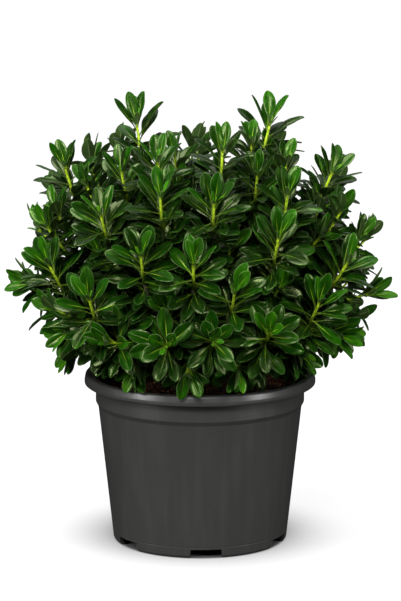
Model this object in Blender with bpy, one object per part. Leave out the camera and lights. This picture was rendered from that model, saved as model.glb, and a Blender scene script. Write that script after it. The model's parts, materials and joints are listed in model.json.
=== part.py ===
"""A dwarf pittosporum in a plastic nursery pot.

The pot stands on z = 0 with its axis on Z, and the front of the plant looks along -Y.
A trunk stands in a plain hole in the soil and branches into limbs and branchlets. On the
end of each branchlet sits a leafy shoot, a whorl of blades on a green stem. At the back
two shoots share a stem, as a fork. Lengths are in metres and angles in degrees.
"""

import math
import random
from itertools import product

import bmesh
import bpy
from mathutils import Matrix, Vector
from mathutils.bvhtree import BVHTree
from mathutils.geometry import intersect_ray_tri

MM = 0.001
GAP = 0.3 * MM  # between pieces that touch

# Pot
POT_SIDES = 36
POT_HEIGHT = 206 * MM
RIM_RADIUS = 140 * MM
RIM_ROUND = 3 * MM
RIM_TOP_INNER = 131 * MM
FLANGE = 5 * MM
SKIRT_HEIGHT = 12 * MM
SKIRT_WALL = 2.4 * MM
BAND_RADIUS = 126.5 * MM
BAND_BOTTOM = 172 * MM
BODY_TOP = 166.5 * MM
BODY_TOP_RADIUS = 123.5 * MM
BODY_TAPER = 0.1095
WALL = 2.2 * MM
FOOT_ROUND = 5 * MM
FOOT_WIDTH = 1.8 * MM
PLATE_BOTTOM = 8 * MM
PLATE_TOP = 10.5 * MM

# Drainage notches in the foot
NOTCHES = 6
NOTCH_TURN = -86.0  # azimuth of the one nearest the front
NOTCH_WIDTH = 39 * MM
NOTCH_TAPER = 2 * MM
NOTCH_HEIGHT = 11.4 * MM
NOTCH_INNER = 88 * MM
NOTCH_OUTER = 112 * MM

# Soil
SOIL_EDGE = 186 * MM
SOIL_MOUND = 5 * MM
SOIL_BUMPS = 1.6 * MM
SOIL_RINGS = (0.93, 0.72, 0.48, 0.25)

# Trunk, limbs and branchlets
TRUNK_FOOT = 152 * MM
TRUNK_TOP = 226 * MM
TRUNK_RADII = (9.5 * MM, 8.5 * MM)
LIMB_PIVOT = 232 * MM  # the limbs spread from about here
LIMB_RADII = (5.2 * MM, 2.9 * MM)
LIMB_STEPS = 4
LIMB_SIDES = 6
LIMB_RINGS = ((7, 6, 0.60, 10), (5, 48, 0.56, 40), (1, 88, 0.52, 0))
BRANCHLET_RADII = (2.3 * MM, 2.0 * MM)
BRANCHLET_SIDES = 3
BRANCHLET_SPAN = 45 * MM
BRANCHLET_JOINTS = (0.35, 0.68, 0.97)  # shares of a limb's segment where one may start
SHOOT_RADII = (2.0 * MM, 1.3 * MM)

# The crown is a squared ellipsoid, and each shoot's bud sits on it or a little inside
CROWN_MIDDLE = 331 * MM
CROWN_REACH = 203 * MM
CROWN_UP = 182 * MM
CROWN_DOWN = 114 * MM
CROWN_POWER = 2.6
LIFT_LOW = 0.45  # how far a low shoot turns up from the crown's normal, and a high one
LIFT_HIGH = 1.5

# The front shoots are placed as an eye in front of the pot sees them
EYE = Vector((0, -4.0, 1.078))
EYE_DIP = 11.09
# The bud's place across and up from the rim's centre and how far in it is (mm), its size,
# and for the leading shoots how far the stem leans to the right in the front view
LEADING_SHOOTS = (
    (-76, 296, 0, 1.18, -7),
    (84, 297, 0, 1.18, 13),
    (-51, 251, 0, 1.0, -4),
    (27, 265, 0, 1.0, 2),
    (159, 239, 0, 1.0, 21),
    (-163, 245, 0, 1.0, -16),
    (-120, 188, 0, 1.04, -12),
    (-48, 209, 0, 1.04, -3),
    (17, 202, 0, 1.06, 2),
    (106, 211, 0, 1.04, 8),
    (-182, 127, -4, 1.04, -25),
    (-72, 138, 0, 1.06, -6),
    (-8, 128, 0, 1.0, 0),
    (95, 160, 0, 1.08, 9),
    (178, 130, -4, 1.04, 30),
    (-134, 86, 0, 1.1, -12),
    (42, 94, 7, 1.06, 8),
    (144, 82, 0, 1.04, 20),
    (200, 93, 0, 1.06, 75),
    (-41, 31, -1, 1.08, -5),
    (16, 37, 0, 0.96, 2),
    (84, 46, -1, 1.02, 12),
    (-156, 51, 0, 0.96, -115),
    (162, 46, 0, 1.0, 95),
    (-200, 108, 0, 1.02, -80),
)
FILLING_SHOOTS = (
    (-30, 258, 40, 0.92),
    (-95, 240, 36, 0.96),
    (62, 273, 40, 0.88),
    (104, 249, 35, 0.94),
    (-174, 194, 20, 0.88),
    (-136, 222, 45, 0.9),
    (69, 236, 30, 0.88),
    (-29, 219, 52, 0.9),
    (169, 191, 18, 0.96),
    (143, 194, 55, 0.9),
    (-184, 173, 12, 0.88),
    (192, 160, 12, 0.88),
    (-34, 160, 50, 0.94),
    (36, 148, 50, 0.94),
    (-121, 142, 45, 0.94),
    (143, 160, 50, 0.92),
    (-172, 73, 8, 0.98),
    (-39, 73, 40, 0.92),
    (-91, 60, 30, 0.94),
    (95, 99, 45, 0.94),
    (184, 65, 12, 0.94),
    (-109, 35, 4, 1.0),
    (121, 26, 16, 0.94),
    (-78, 6, 14, 0.9),
    (46, 6, 20, 0.9),
)
# The shoots out of sight each take the emptiest of these many places over the crown
HIDDEN_SHOOTS = 37
CROWN_PLACES = 600
CROWN_LOWEST = -0.72  # sine of the lowest place's angle
# None of them shows over the crown's outline from the front: across and up (mm)
OUTLINE = (
    (-215, 110),
    (-185, 190),
    (-150, 240),
    (-100, 268),
    (-60, 262),
    (0, 268),
    (60, 268),
    (105, 262),
    (150, 236),
    (195, 165),
    (215, 110),
)
GOLDEN_TURN = 137.508

# Leafy shoot: blades along the top of a green stem, numbered from the lowest
BLADES_GROWN = 12
LEADING_BLADES = (0, 1, 3, 5, 7, 10)  # the ones built here
FILLING_BLADES = (0, 1, 3, 5, 8)
LEAFY_DEPTH = 29 * MM
LEAFY_RINGS = 3
BUD = 3 * MM
SHOOT_LENGTH = 42 * MM
STEM_SIDES = 4
BLADE_LENGTH = 46 * MM
BLADE_SHRINK = 0.18  # how much shorter the topmost blade is
BLADE_RATIO = 0.37
PITCH_LOW = 84
PITCH_HIGH = 16
PITCH_POWER = 1.1
FREE_LOW = 28  # no blade stands this near the shoot's front: the lowest one, and the topmost
FREE_HIGH = 100
ARCH_LOW = 14
ARCH_HIGH = 6
BLADE_STATIONS = ((0.34, 0.45), (0.66, 1.0), (0.88, 0.80))  # along, half-width
BLADE_CUP = 0.10
BLADE_KEEL = 1.1 * MM
CLEAR = 0.35 * MM  # kept free round a blade
SEED = 7

FORK_REACHES = [reach * MM for reach in (34, 26, 44, 18, 54, 10, 64)]
FORK_SHARES = (0.5, 0.35, 0.65, 0.2, 0.8, 0, 1)
FORK_NECK = 6 * MM
FORK_STEPS = 2
UP = Vector((0, 0, 1))


def clean_scene():
    for thing in list(bpy.data.objects):
        bpy.data.objects.remove(thing, do_unlink=True)


def polar(turn, radius, height):
    angle = math.radians(turn)
    return Vector((radius * math.cos(angle), radius * math.sin(angle), height))


def make_material(name, color, roughness):
    material = bpy.data.materials.new(name)
    material.use_nodes = True
    shader = material.node_tree.nodes["Principled BSDF"]
    shader.inputs["Base Color"].default_value = (*color, 1)
    shader.inputs["Roughness"].default_value = roughness
    shader.inputs["Metallic"].default_value = 0
    return material


def make_object(name, points, faces, material=None, smooth=True):
    mesh = bpy.data.meshes.new(name)
    mesh.from_pydata([tuple(point) for point in points], [], faces)
    bm = bmesh.new()
    bm.from_mesh(mesh)
    bmesh.ops.recalc_face_normals(bm, faces=bm.faces)
    bm.to_mesh(mesh)
    bm.free()
    if material:
        mesh.materials.append(material)
    if smooth:
        mesh.shade_smooth()
        mesh.set_sharp_from_angle(angle=math.radians(40))
    thing = bpy.data.objects.new(name, mesh)
    bpy.context.scene.collection.objects.link(thing)
    return thing


def join_by_union(base, others):
    """One Boolean union of all of `others` into `base`, applied."""
    group = bpy.data.collections.new(base.name + "_parts")
    bpy.context.scene.collection.children.link(group)
    for other in others:
        group.objects.link(other)
        bpy.context.scene.collection.objects.unlink(other)
    union = base.modifiers.new("union", "BOOLEAN")
    union.operation = "UNION"
    union.operand_type = "COLLECTION"
    union.collection = group
    union.solver = "EXACT"
    apply_modifiers(base)
    for other in others:
        bpy.data.objects.remove(other, do_unlink=True)
    bpy.data.collections.remove(group)


def apply_modifiers(thing):
    graph = bpy.context.evaluated_depsgraph_get()
    mesh = bpy.data.meshes.new_from_object(thing.evaluated_get(graph))
    thing.modifiers.clear()
    thing.data = mesh


# Turned pieces


def turned(profile, sides, wave=None):
    """Points and faces of a profile (radius, height) turned about Z; radius 0 is a pole."""
    points, faces, rings = [], [], []
    for index, (radius, height) in enumerate(profile):
        if radius == 0:
            rings.append([len(points)])
            points.append(Vector((0, 0, height)))
            continue
        rings.append(list(range(len(points), len(points) + sides)))
        for side in range(sides):
            turn = 360 * side / sides
            rise = wave(index, radius, turn) if wave else 0
            points.append(polar(turn, radius, height + rise))
    for low, high in zip(rings, rings[1:]):
        for side in range(sides):
            after = (side + 1) % sides
            if len(low) == 1:
                faces.append((low[0], high[after], high[side]))
            elif len(high) == 1:
                faces.append((low[side], low[after], high[0]))
            else:
                faces.append((low[side], low[after], high[after], high[side]))
    return points, faces


def arc(radius, height, size, first, last, steps):
    """Points of a rounding about (radius, height), from angle `first` to `last`."""
    turns = [math.radians(first + (last - first) * step / steps) for step in range(steps + 1)]
    return [(radius + size * math.cos(turn), height + size * math.sin(turn)) for turn in turns]


def body_radius(height):
    return BODY_TOP_RADIUS - BODY_TAPER * (BODY_TOP - height)


def pot_profile():
    foot = body_radius(FOOT_ROUND) - FOOT_ROUND
    skirt_inner = RIM_RADIUS - SKIRT_WALL
    skirt_bottom = POT_HEIGHT - SKIRT_HEIGHT
    under_flange = POT_HEIGHT - FLANGE
    return [
        (0, PLATE_BOTTOM),
        (foot - FOOT_WIDTH, PLATE_BOTTOM),
        (foot - FOOT_WIDTH, 0),
        *arc(foot, FOOT_ROUND, FOOT_ROUND, -90, 0, 2),
        (BODY_TOP_RADIUS, BODY_TOP),
        (BAND_RADIUS, BAND_BOTTOM),
        (BAND_RADIUS, under_flange),
        (skirt_inner, under_flange),
        (skirt_inner, skirt_bottom),
        (RIM_RADIUS, skirt_bottom),
        *arc(RIM_RADIUS - RIM_ROUND, POT_HEIGHT - RIM_ROUND, RIM_ROUND, 0, 90, 2),
        (RIM_TOP_INNER, POT_HEIGHT),
        (BAND_RADIUS - WALL, under_flange),
        (BAND_RADIUS - WALL, BAND_BOTTOM),
        (BODY_TOP_RADIUS - WALL, BODY_TOP),
        (body_radius(PLATE_TOP) - WALL, PLATE_TOP),
        (0, PLATE_TOP),
    ]


def notch_cutter(turn, points, faces):
    half = NOTCH_WIDTH / 2
    low = -2 * MM
    corners = ((-half, low), (half, low), (half - NOTCH_TAPER / 2, NOTCH_HEIGHT))
    corners += ((-half + NOTCH_TAPER / 2, NOTCH_HEIGHT),)
    spin = Matrix.Rotation(math.radians(turn), 4, "Z")
    first = len(points)
    for radius in (NOTCH_INNER, NOTCH_OUTER):
        points += [spin @ Vector((radius, side, height)) for side, height in corners]
    faces.append([first + corner for corner in (3, 2, 1, 0)])
    faces.append([first + corner for corner in (4, 5, 6, 7)])
    for corner in range(4):
        after = (corner + 1) % 4
        faces.append([first + i for i in (corner, after, after + 4, corner + 4)])


def build_pot(material):
    pot = make_object("pot", *turned(pot_profile(), POT_SIDES), material)
    points, faces = [], []
    for notch in range(NOTCHES):
        notch_cutter(NOTCH_TURN + 360 / NOTCHES * notch, points, faces)
    cutter = make_object("notches", points, faces, smooth=False)
    cut = pot.modifiers.new("notches", "BOOLEAN")
    cut.operation = "DIFFERENCE"
    cut.object = cutter
    cut.solver = "EXACT"
    apply_modifiers(pot)
    bpy.data.objects.remove(cutter, do_unlink=True)
    return pot


def soil_wave(radius, turn):
    angle = math.radians(turn)
    bumps = math.sin(3 * angle + 90 * radius) + 0.7 * math.sin(7 * angle - 160 * radius)
    return SOIL_BUMPS * 0.6 * bumps


def build_soil(material):
    """A solid fill: up the pot's inner wall, over a slightly mounded top, down the trunk's hole."""
    edge = BAND_RADIUS - WALL - GAP
    hole = TRUNK_RADII[0] + 0.5 * MM
    side = [
        (0, PLATE_TOP + GAP),
        (body_radius(PLATE_TOP) - WALL - GAP, PLATE_TOP + GAP),
        (BODY_TOP_RADIUS - WALL - GAP, BODY_TOP),
        (edge, BAND_BOTTOM),
        (edge, SOIL_EDGE),
    ]
    top = [(edge * share, SOIL_EDGE + SOIL_MOUND * (1 - share**2)) for share in SOIL_RINGS]
    pit = [(hole, SOIL_EDGE + SOIL_MOUND), (hole, TRUNK_FOOT - GAP), (0, TRUNK_FOOT - GAP)]

    def wave(index, radius, turn):
        on_top = len(side) <= index < len(side) + len(top)
        return soil_wave(radius, turn) if on_top else 0

    return make_object("soil", *turned(side + top + pit, POT_SIDES, wave), material)


# Stems


def bezier(first, lean_a, lean_b, last, steps):
    """Points of a cubic curve from `first` to `last`, with its two handles."""
    points = []
    for step in range(steps + 1):
        t = step / steps
        s = 1 - t
        points.append(s**3 * first + 3 * s * s * t * lean_a + 3 * s * t * t * lean_b + t**3 * last)
    return points


def tube_rings(path, radii, sides, start_axis=None, end_axis=None):
    """Rings of points round a tapered stem along `path`."""
    rings, side_axis = [], None
    last = len(path) - 1
    for index, place in enumerate(path):
        ahead = path[min(index + 1, last)] - path[max(index - 1, 0)]
        if index == 0 and start_axis is not None:
            ahead = start_axis
        if index == last and end_axis is not None:
            ahead = end_axis
        ahead = ahead.normalized()
        if side_axis is None:
            side_axis = ahead.orthogonal()
        side_axis = (side_axis - ahead * side_axis.dot(ahead)).normalized()
        other = ahead.cross(side_axis)
        radius = radii[0] + (radii[1] - radii[0]) * index / last
        turns = [2 * math.pi * side / sides for side in range(sides)]
        rings.append(
            [place + radius * (math.cos(t) * side_axis + math.sin(t) * other) for t in turns]
        )
    return rings


class Skin:
    """A closed skin of triangles that is drawn out ring by ring."""

    def __init__(self):
        self.points = []
        self.faces = []

    def add_ring(self, places):
        first = len(self.points)
        self.points += places
        return list(range(first, first + len(places)))

    def bridge(self, low, high):
        """Triangles between two rings. The second of each pair has its base on `high`."""
        count, first = len(low), len(self.faces)
        for side in range(count):
            after = (side + 1) % count
            self.faces.append((low[side], low[after], high[after]))
            self.faces.append((low[side], high[after], high[side]))
        return self.faces[first:]

    def bridge_ridged(self, low, high):
        """The same for twisted rings: each pair's shared edge is the one that stands out."""
        for side in range(len(low)):
            after = (side + 1) % len(low)
            a, b, c, d = (self.points[i] for i in (low[side], low[after], high[after], high[side]))
            if (d - a).dot((b - a).cross(c - a)) < 0:
                self.faces.append((low[side], low[after], high[after]))
                self.faces.append((low[side], high[after], high[side]))
            else:
                self.faces.append((low[side], low[after], high[side]))
                self.faces.append((low[after], high[after], high[side]))

    def cap_start(self, ring):
        self.faces += [(ring[0], ring[i + 1], ring[i]) for i in range(1, len(ring) - 1)]

    def cap_end(self, ring):
        self.faces += [(ring[0], ring[i], ring[i + 1]) for i in range(1, len(ring) - 1)]

    def close_to_tip(self, ring, tip):
        self.points.append(tip)
        first = len(self.faces)
        for side in range(len(ring)):
            self.faces.append((ring[side], ring[(side + 1) % len(ring)], len(self.points) - 1))
        return self.faces[first:]

    def fit_ring(self, corners, ring):
        """`corners` turned round until they lie nearest the points of `ring`."""
        count = len(corners)
        turned_ways = [[corners[(i + turn) % count] for i in range(count)] for turn in range(count)]

        def misfit(way):
            return sum((self.points[i] - place).length for i, place in zip(way, ring))

        return min(turned_ways, key=misfit)


def tube(path, radii, sides, start_axis=None, end_axis=None, tip=None):
    """Points and triangles of a closed tapered stem."""
    skin = Skin()
    rings = [skin.add_ring(r) for r in tube_rings(path, radii, sides, start_axis, end_axis)]
    skin.cap_start(rings[0])
    for low, high in zip(rings, rings[1:]):
        skin.bridge(low, high)
    if tip is None:
        skin.cap_end(rings[-1])
    else:
        skin.close_to_tip(rings[-1], tip)
    return skin.points, skin.faces


# Crown and shoots


def crown_excess(place):
    """Below 0 inside the crown, 0 on its surface and above 0 outside."""
    rise = place.z - CROWN_MIDDLE
    height = CROWN_UP if rise > 0 else CROWN_DOWN
    out = math.hypot(place.x, place.y) / CROWN_REACH
    return out**CROWN_POWER + abs(rise / height) ** CROWN_POWER - 1


def crown_normal(place):
    step = 0.5 * MM
    slope = [
        crown_excess(place + step * axis) - crown_excess(place - step * axis)
        for axis in (Vector((1, 0, 0)), Vector((0, 1, 0)), UP)
    ]
    return Vector(slope).normalized()


def seen_place(across, up, back):
    """The point of the crown that the eye in front sees at a place in the front view."""
    dip = math.radians(EYE_DIP)
    place = Vector((across, 0, POT_HEIGHT)) + up * Vector((0, math.sin(dip), math.cos(dip)))
    sight = (EYE - place).normalized()
    nearest, least = place, math.inf
    reach, step = 1.3 * CROWN_REACH, 1.5 * MM
    for index in range(int(2 * reach / step)):
        tried = place + sight * (reach - step * index)
        excess = crown_excess(tried)
        if excess < least:
            nearest, least = tried, excess
        if excess <= 0:
            break
    return nearest - sight * back


def spiral_place(index):
    """Places spread over the crown, from its top down, by the golden angle."""
    level = 1 - (1 - CROWN_LOWEST) * (index + 0.5) / CROWN_PLACES
    flat = polar(index * GOLDEN_TURN, math.sqrt(1 - level * level), level)
    low, high = 0.0, 2 * CROWN_REACH
    middle = Vector((0, 0, CROWN_MIDDLE))
    for _ in range(30):
        reach = (low + high) / 2
        if crown_excess(middle + reach * flat) > 0:
            high = reach
        else:
            low = reach
    return middle + low * flat


def under_outline(place):
    """The place itself, or as far below it as keeps it under the outline."""
    dip = math.radians(EYE_DIP)
    for (left, left_up), (right, right_up) in zip(OUTLINE, OUTLINE[1:]):
        across = place.x / MM
        if left <= across <= right:
            limit = left_up + (right_up - left_up) * (across - left) / (right - left)
            above = place - Vector((0, 0, POT_HEIGHT))
            up = above.z * math.cos(dip) + above.y * math.sin(dip)
            if up > limit * MM:
                return place - UP * (up - limit * MM) / math.cos(dip)
    return place


def shoot_axis(place, draw):
    """Out from the crown and turned up, more so near its top."""
    share = (place.z - POT_HEIGHT) / (CROWN_MIDDLE + CROWN_UP - POT_HEIGHT)
    lift = LIFT_LOW + (LIFT_HIGH - LIFT_LOW) * min(max(share, 0), 1)
    axis = crown_normal(place) + lift * UP
    stray = Vector((draw.uniform(-1, 1), draw.uniform(-1, 1), draw.uniform(-1, 1)))
    return (axis.normalized() + 0.09 * stray).normalized()


def make_shoot(place, size, blades, draw, lean=None):
    axis = shoot_axis(place, draw)
    if lean is not None:
        flat = math.hypot(axis.x, axis.z)
        angle = math.radians(lean)
        axis = Vector((flat * math.sin(angle), axis.y, flat * math.cos(angle)))
        front = EYE - place
    else:
        front = Vector((place.x, place.y, 0))
    foot = place - axis * SHOOT_LENGTH * size
    return {
        "place": place,
        "axis": axis,
        "front": front.normalized(),
        "foot": foot,
        "size": size,
        "turn": draw.uniform(0, 360),
        "blades": blades,
    }


def plan_shoots(draw):
    """The front shoots by their places in the front view, then the ones out of sight."""
    leading, filling = [], []
    for across, up, back, size, lean in LEADING_SHOOTS:
        place = seen_place(across * MM, up * MM, back * MM)
        leading.append(make_shoot(place, size, LEADING_BLADES, draw, lean))
    for across, up, back, size in FILLING_SHOOTS:
        place = seen_place(across * MM, up * MM, back * MM)
        filling.append(make_shoot(place, size, FILLING_BLADES, draw))
    free = [under_outline(spiral_place(index)) for index in range(CROWN_PLACES)]
    for _ in range(HIDDEN_SHOOTS):
        taken = [shoot["place"] for shoot in leading + filling]
        place = max(free, key=lambda spot: min((spot - other).length for other in taken))
        filling.append(make_shoot(place, draw.uniform(0.94, 1.06), FILLING_BLADES, draw))
    return leading, filling


def pair_up(shoots):
    """Nearest neighbours go together as forks; one may be left single."""
    left, pairs = list(shoots), []
    while len(left) > 1:
        first = min(left, key=lambda shoot: shoot["place"].z)
        left.remove(first)
        mate = min(left, key=lambda shoot: (shoot["place"] - first["place"]).length)
        left.remove(mate)
        pairs.append([first, mate])
    return pairs + [left] * len(left)


def leafy_path(shoot):
    """Places along the leafy part of the stem, from its start to the bud."""
    depth = LEAFY_DEPTH * shoot["size"]
    steps = [-depth * (1 - ring / LEAFY_RINGS) for ring in range(LEAFY_RINGS + 1)]
    return [shoot["place"] + shoot["axis"] * step for step in steps]


def lay_single(shoot):
    shoot["path"] = [shoot["foot"] + shoot["axis"] * GAP, *leafy_path(shoot)]
    shoot["heading"] = shoot["axis"]
    return shoot["foot"], shoot["axis"]


def lay_fork(shoots, reach, share, crowd, name):
    """Two stem paths from one foot, the second branching off the side of its short neck."""
    axis = (shoots[0]["axis"] + shoots[1]["axis"]).normalized()
    foot = shoots[0]["foot"].lerp(shoots[1]["foot"], share) - axis * reach
    base = foot + axis * GAP
    neck = base + axis * FORK_NECK
    middle = base.lerp(neck, 0.5)
    aside = (shoots[1]["foot"] - middle).normalized()
    for shoot, start, lean in zip(shoots, (neck, middle), (axis, aside)):
        leafy = leafy_path(shoot)
        span = (leafy[0] - start).length
        near = leafy[0] - shoot["axis"] * span * 0.4
        arm = bezier(start, start + lean * span * 0.3, near, leafy[0], FORK_STEPS)
        shoot["path"] = arm + leafy[1:]
        shoot["heading"] = lean
    shoots[0]["path"].insert(0, base)
    clear = all(crowd.is_clear(*stem_solid(shoot, 0.5 * MM), skip=(name,)) for shoot in shoots)
    return foot, axis, clear


def stem_solid(shoot, spare=0.0):
    radii = [radius + spare for radius in SHOOT_RADII]
    tip = shoot["place"] + shoot["axis"] * BUD
    return tube(shoot["path"], radii, STEM_SIDES, start_axis=shoot["heading"], tip=tip)


def lay_stems(groups, crowd):
    """Lays every node's stems and returns each one's name, foot and axis."""
    feet = []
    for name, shoots in groups:
        if len(shoots) == 1:
            foot, axis = lay_single(shoots[0])
        else:
            for share, reach in product(FORK_SHARES, FORK_REACHES):
                foot, axis, clear = lay_fork(shoots, reach, share, crowd, name)
                if clear:
                    break
            else:
                print("no clear way for the arms of", name)
        feet.append((name, foot, axis))
        for shoot in shoots:
            crowd.add(name, *stem_solid(shoot))
    return feet


# Blades


def blade_heading(shoot, rank, share, bend_turn):
    """Out from the stem by the golden angle, with the front of the stem kept free."""
    first = shoot["axis"].orthogonal().normalized()
    second = shoot["axis"].cross(first)
    front = math.degrees(math.atan2(shoot["front"].dot(second), shoot["front"].dot(first)))
    aside = (shoot["turn"] + rank * GOLDEN_TURN - front + 180) % 360 - 180
    free = FREE_LOW + (FREE_HIGH - FREE_LOW) * share
    aside = math.copysign(free + (180 - free) * abs(aside) / 180, aside)
    turn = math.radians(front + aside + bend_turn)
    return math.cos(turn) * first + math.sin(turn) * second


def blade_frames(shoot, rank, bend, stations):
    """Centre, across and face normal of one blade at each station from root to tip."""
    share = rank / (BLADES_GROWN - 1)
    axis = shoot["axis"]
    out = blade_heading(shoot, rank, share, bend["turn"])
    pitch = PITCH_HIGH + (PITCH_LOW - PITCH_HIGH) * (1 - share) ** PITCH_POWER + bend["pitch"]
    arch = ARCH_LOW + (ARCH_HIGH - ARCH_LOW) * share
    length = BLADE_LENGTH * shoot["size"] * (1 - BLADE_SHRINK * share**4) * bend["length"]
    root = shoot["place"] - axis * LEAFY_DEPTH * shoot["size"] * (1 - share)
    pitch, arch = math.radians(pitch), math.radians(arch)
    frames = []
    for along in stations:
        lean = pitch + arch * along
        reach = length * (math.cos(pitch) - math.cos(lean)) / arch
        rise = length * (math.sin(lean) - math.sin(pitch)) / arch
        ahead = math.cos(lean) * axis + math.sin(lean) * out
        face = math.sin(lean) * axis - math.cos(lean) * out
        frames.append((root + reach * out + rise * axis, ahead.cross(face), face))
    return frames, length


def blade_rings(shoot, rank, bend, spare=0.0):
    """Three-sided sections, each two edges and a keel under the midrib, and the tip."""
    stations = [along for along, _ in BLADE_STATIONS] + [1.0]
    frames, length = blade_frames(shoot, rank, bend, stations)
    widest = length * BLADE_RATIO / 2
    rings = []
    for (_, share), (centre, across, face) in zip(BLADE_STATIONS, frames):
        half = widest * share + spare
        edge = centre + face * (BLADE_CUP * half + spare)
        keel = centre - face * (BLADE_KEEL * (0.65 + 0.35 * share) + spare)
        rings.append([edge - half * across, edge + half * across, keel])
    tip, _, face = frames[-1]
    return rings, tip + face * BLADE_CUP * 0.3 * widest


def passes_through(first, second, face):
    """Whether the line between two points goes through a triangle, not only touches it."""
    along = second - first
    hit = intersect_ray_tri(*face, along, first, True)
    return hit is not None and 1e-4 < (hit - first).dot(along) / along.length_squared < 1 - 1e-4


def cross_each_other(points, some, others):
    """Whether any face of `some` crosses one of `others` that it has no edge in common with."""
    tree = BVHTree.FromPolygons(points, some)
    for mine, theirs in tree.overlap(BVHTree.FromPolygons(points, others)):
        pair = (some[mine], others[theirs])
        shared = set(pair[0]) & set(pair[1])
        if not shared:
            return True
        if len(shared) == 1:
            for face, other in (pair, pair[::-1]):
                edge = [points[i] for i in face if i not in shared]
                if passes_through(*edge, [points[i] for i in other]):
                    return True
    return False


class Greenery(Skin):
    """The green stems of one node with blades drawn out of their faces, all one skin."""

    def grow_stem(self, shoot, other=None):
        """From its foot, or from a side of `other`'s arm, to the bud."""
        path, heading = shoot["path"], shoot["heading"]
        places = tube_rings(path, SHOOT_RADII, STEM_SIDES, start_axis=heading)
        if other is None:
            ring = self.add_ring(places[0])
            self.cap_start(ring)
        else:
            ring = self.open_side(other, shoot["path"][1], places[1])
        sockets = []
        for index, next_places in enumerate(places[1:], start=1):
            upper = self.add_ring(next_places)
            faces = self.bridge(ring, upper)
            if index == 1:
                shoot["base_faces"] = faces
            if index >= len(path) - LEAFY_RINGS:
                sockets += faces[1::2]
            ring = upper
        sockets += self.close_to_tip(ring, shoot["place"] + shoot["axis"] * BUD)
        shoot["sockets"] = sockets

    def open_side(self, other, toward, ring):
        """Opens the side of an arm's first stretch that faces `toward`."""
        faces = other["base_faces"]
        sides = [(faces[i], faces[i + 1]) for i in range(0, len(faces), 2)]

        def distance(side):
            corners = [self.points[i] for i in {*side[0], *side[1]}]
            return (sum(corners, Vector()) / len(corners) - toward).length

        lower, upper = min(sides, key=distance)
        self.faces.remove(lower)
        self.faces.remove(upper)
        return self.fit_ring([lower[0], lower[1], lower[2], upper[2]], ring)

    def socket(self, shoot, rank, bend, choice):
        """A free stem face near the blade's root, its corners turned to fit the blade."""
        frames, _ = blade_frames(shoot, rank, bend, (0.0, 0.05))
        root = frames[1][0]

        def distance(face):
            return (sum((self.points[i] for i in face), Vector()) / 3 - root).length

        face = sorted(shoot["sockets"], key=distance)[choice]
        centre, across, up = frames[0]
        half = SHOOT_RADII[1] * 0.7
        ideal = (centre + half * (up - across), centre + half * (up + across), centre - half * up)
        return self.fit_ring(face, ideal)

    def blade_body(self, shoot, rank, bend, corners, spare=0.0):
        """The blade alone, as a closed body on its socket."""
        rings, tip = blade_rings(shoot, rank, bend, spare)
        body = Skin()
        ring = body.add_ring([self.points[i] for i in corners])
        body.cap_start(ring)
        for places in rings:
            upper = body.add_ring(places)
            body.bridge_ridged(ring, upper)
            ring = upper
        body.close_to_tip(ring, tip)
        return body.points, body.faces

    def crosses_itself(self, shoot, rank, bend, corners):
        """Whether the blade would cross itself or the rest of the skin."""
        points, faces = self.blade_body(shoot, rank, bend, corners)
        known = len(self.points)
        numbers = [*corners, *range(known, known + len(points) - 3)]
        blade = [tuple(numbers[i] for i in face) for face in faces[1:]]
        everything = self.points + points[3:]
        return cross_each_other(everything, blade, self.faces + blade)

    def grow_blade(self, shoot, rank, bend, corners):
        face = next(f for f in shoot["sockets"] if set(f) == set(corners))
        shoot["sockets"].remove(face)
        self.faces.remove(face)
        rings, tip = blade_rings(shoot, rank, bend)
        ring = corners
        for places in rings:
            upper = self.add_ring(places)
            self.bridge_ridged(ring, upper)
            ring = upper
        self.close_to_tip(ring, tip)


# Keeping pieces clear of each other


class Crowd:
    """Everything that is placed, each with the name of the node that it belongs to."""

    def __init__(self):
        self.placed = []

    @staticmethod
    def bounds(points):
        low = [min(point[axis] for point in points) for axis in range(3)]
        high = [max(point[axis] for point in points) for axis in range(3)]
        return low, high

    def add(self, node, points, faces):
        tree = BVHTree.FromPolygons(points, faces)
        self.placed.append((node, tree, *self.bounds(points)))

    def is_clear(self, points, faces, skip=()):
        low, high = self.bounds(points)
        tree = None
        for node, other, other_low, other_high in self.placed:
            if node in skip:
                continue
            if any(low[i] > other_high[i] or high[i] < other_low[i] for i in range(3)):
                continue
            tree = tree or BVHTree.FromPolygons(points, faces)
            if tree.overlap(other):
                return False
        return True


def ways_to_bend():
    """The blade as it would grow first, then turned, lifted or shortened more and more."""
    ways = []
    for length in (1.0, 0.92, 0.84, 0.74, 0.64):
        for pitch in (0, -8, 8, -16, -24, 16, -34, -44):
            for turn in (0, -9, 9, -18, 18, -28, 28):
                bend = {"length": length, "pitch": pitch, "turn": turn}
                cost = (1 - length) * 90 + abs(pitch) * 0.55 + abs(turn) * 0.6
                ways += [(cost + 2 * choice, (bend, choice)) for choice in range(3)]
    ways.sort(key=lambda way: way[0])
    return [way for _, way in ways]


def place_blades(groups, crowd):
    """Each node's green skin, with its blades bent clear of all that is placed."""
    ways = ways_to_bend()
    skins = {}
    for name, shoots in groups:
        skin = skins[name] = Greenery()
        for shoot, other in zip(shoots, [None, *shoots]):
            skin.grow_stem(shoot, other)
    for name, shoots in groups:
        skin = skins[name]
        for shoot in shoots:
            for rank in shoot["blades"]:
                for bend, choice in ways:
                    corners = skin.socket(shoot, rank, bend, choice)
                    if skin.crosses_itself(shoot, rank, bend, corners):
                        continue
                    wide = skin.blade_body(shoot, rank, bend, corners, CLEAR)
                    if crowd.is_clear(*wide, skip=(name,)):
                        crowd.add(name, *skin.blade_body(shoot, rank, bend, corners))
                        skin.grow_blade(shoot, rank, bend, corners)
                        break
                else:
                    print("no room for blade", rank, "on", name)
    return skins


# Woody stems


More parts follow.
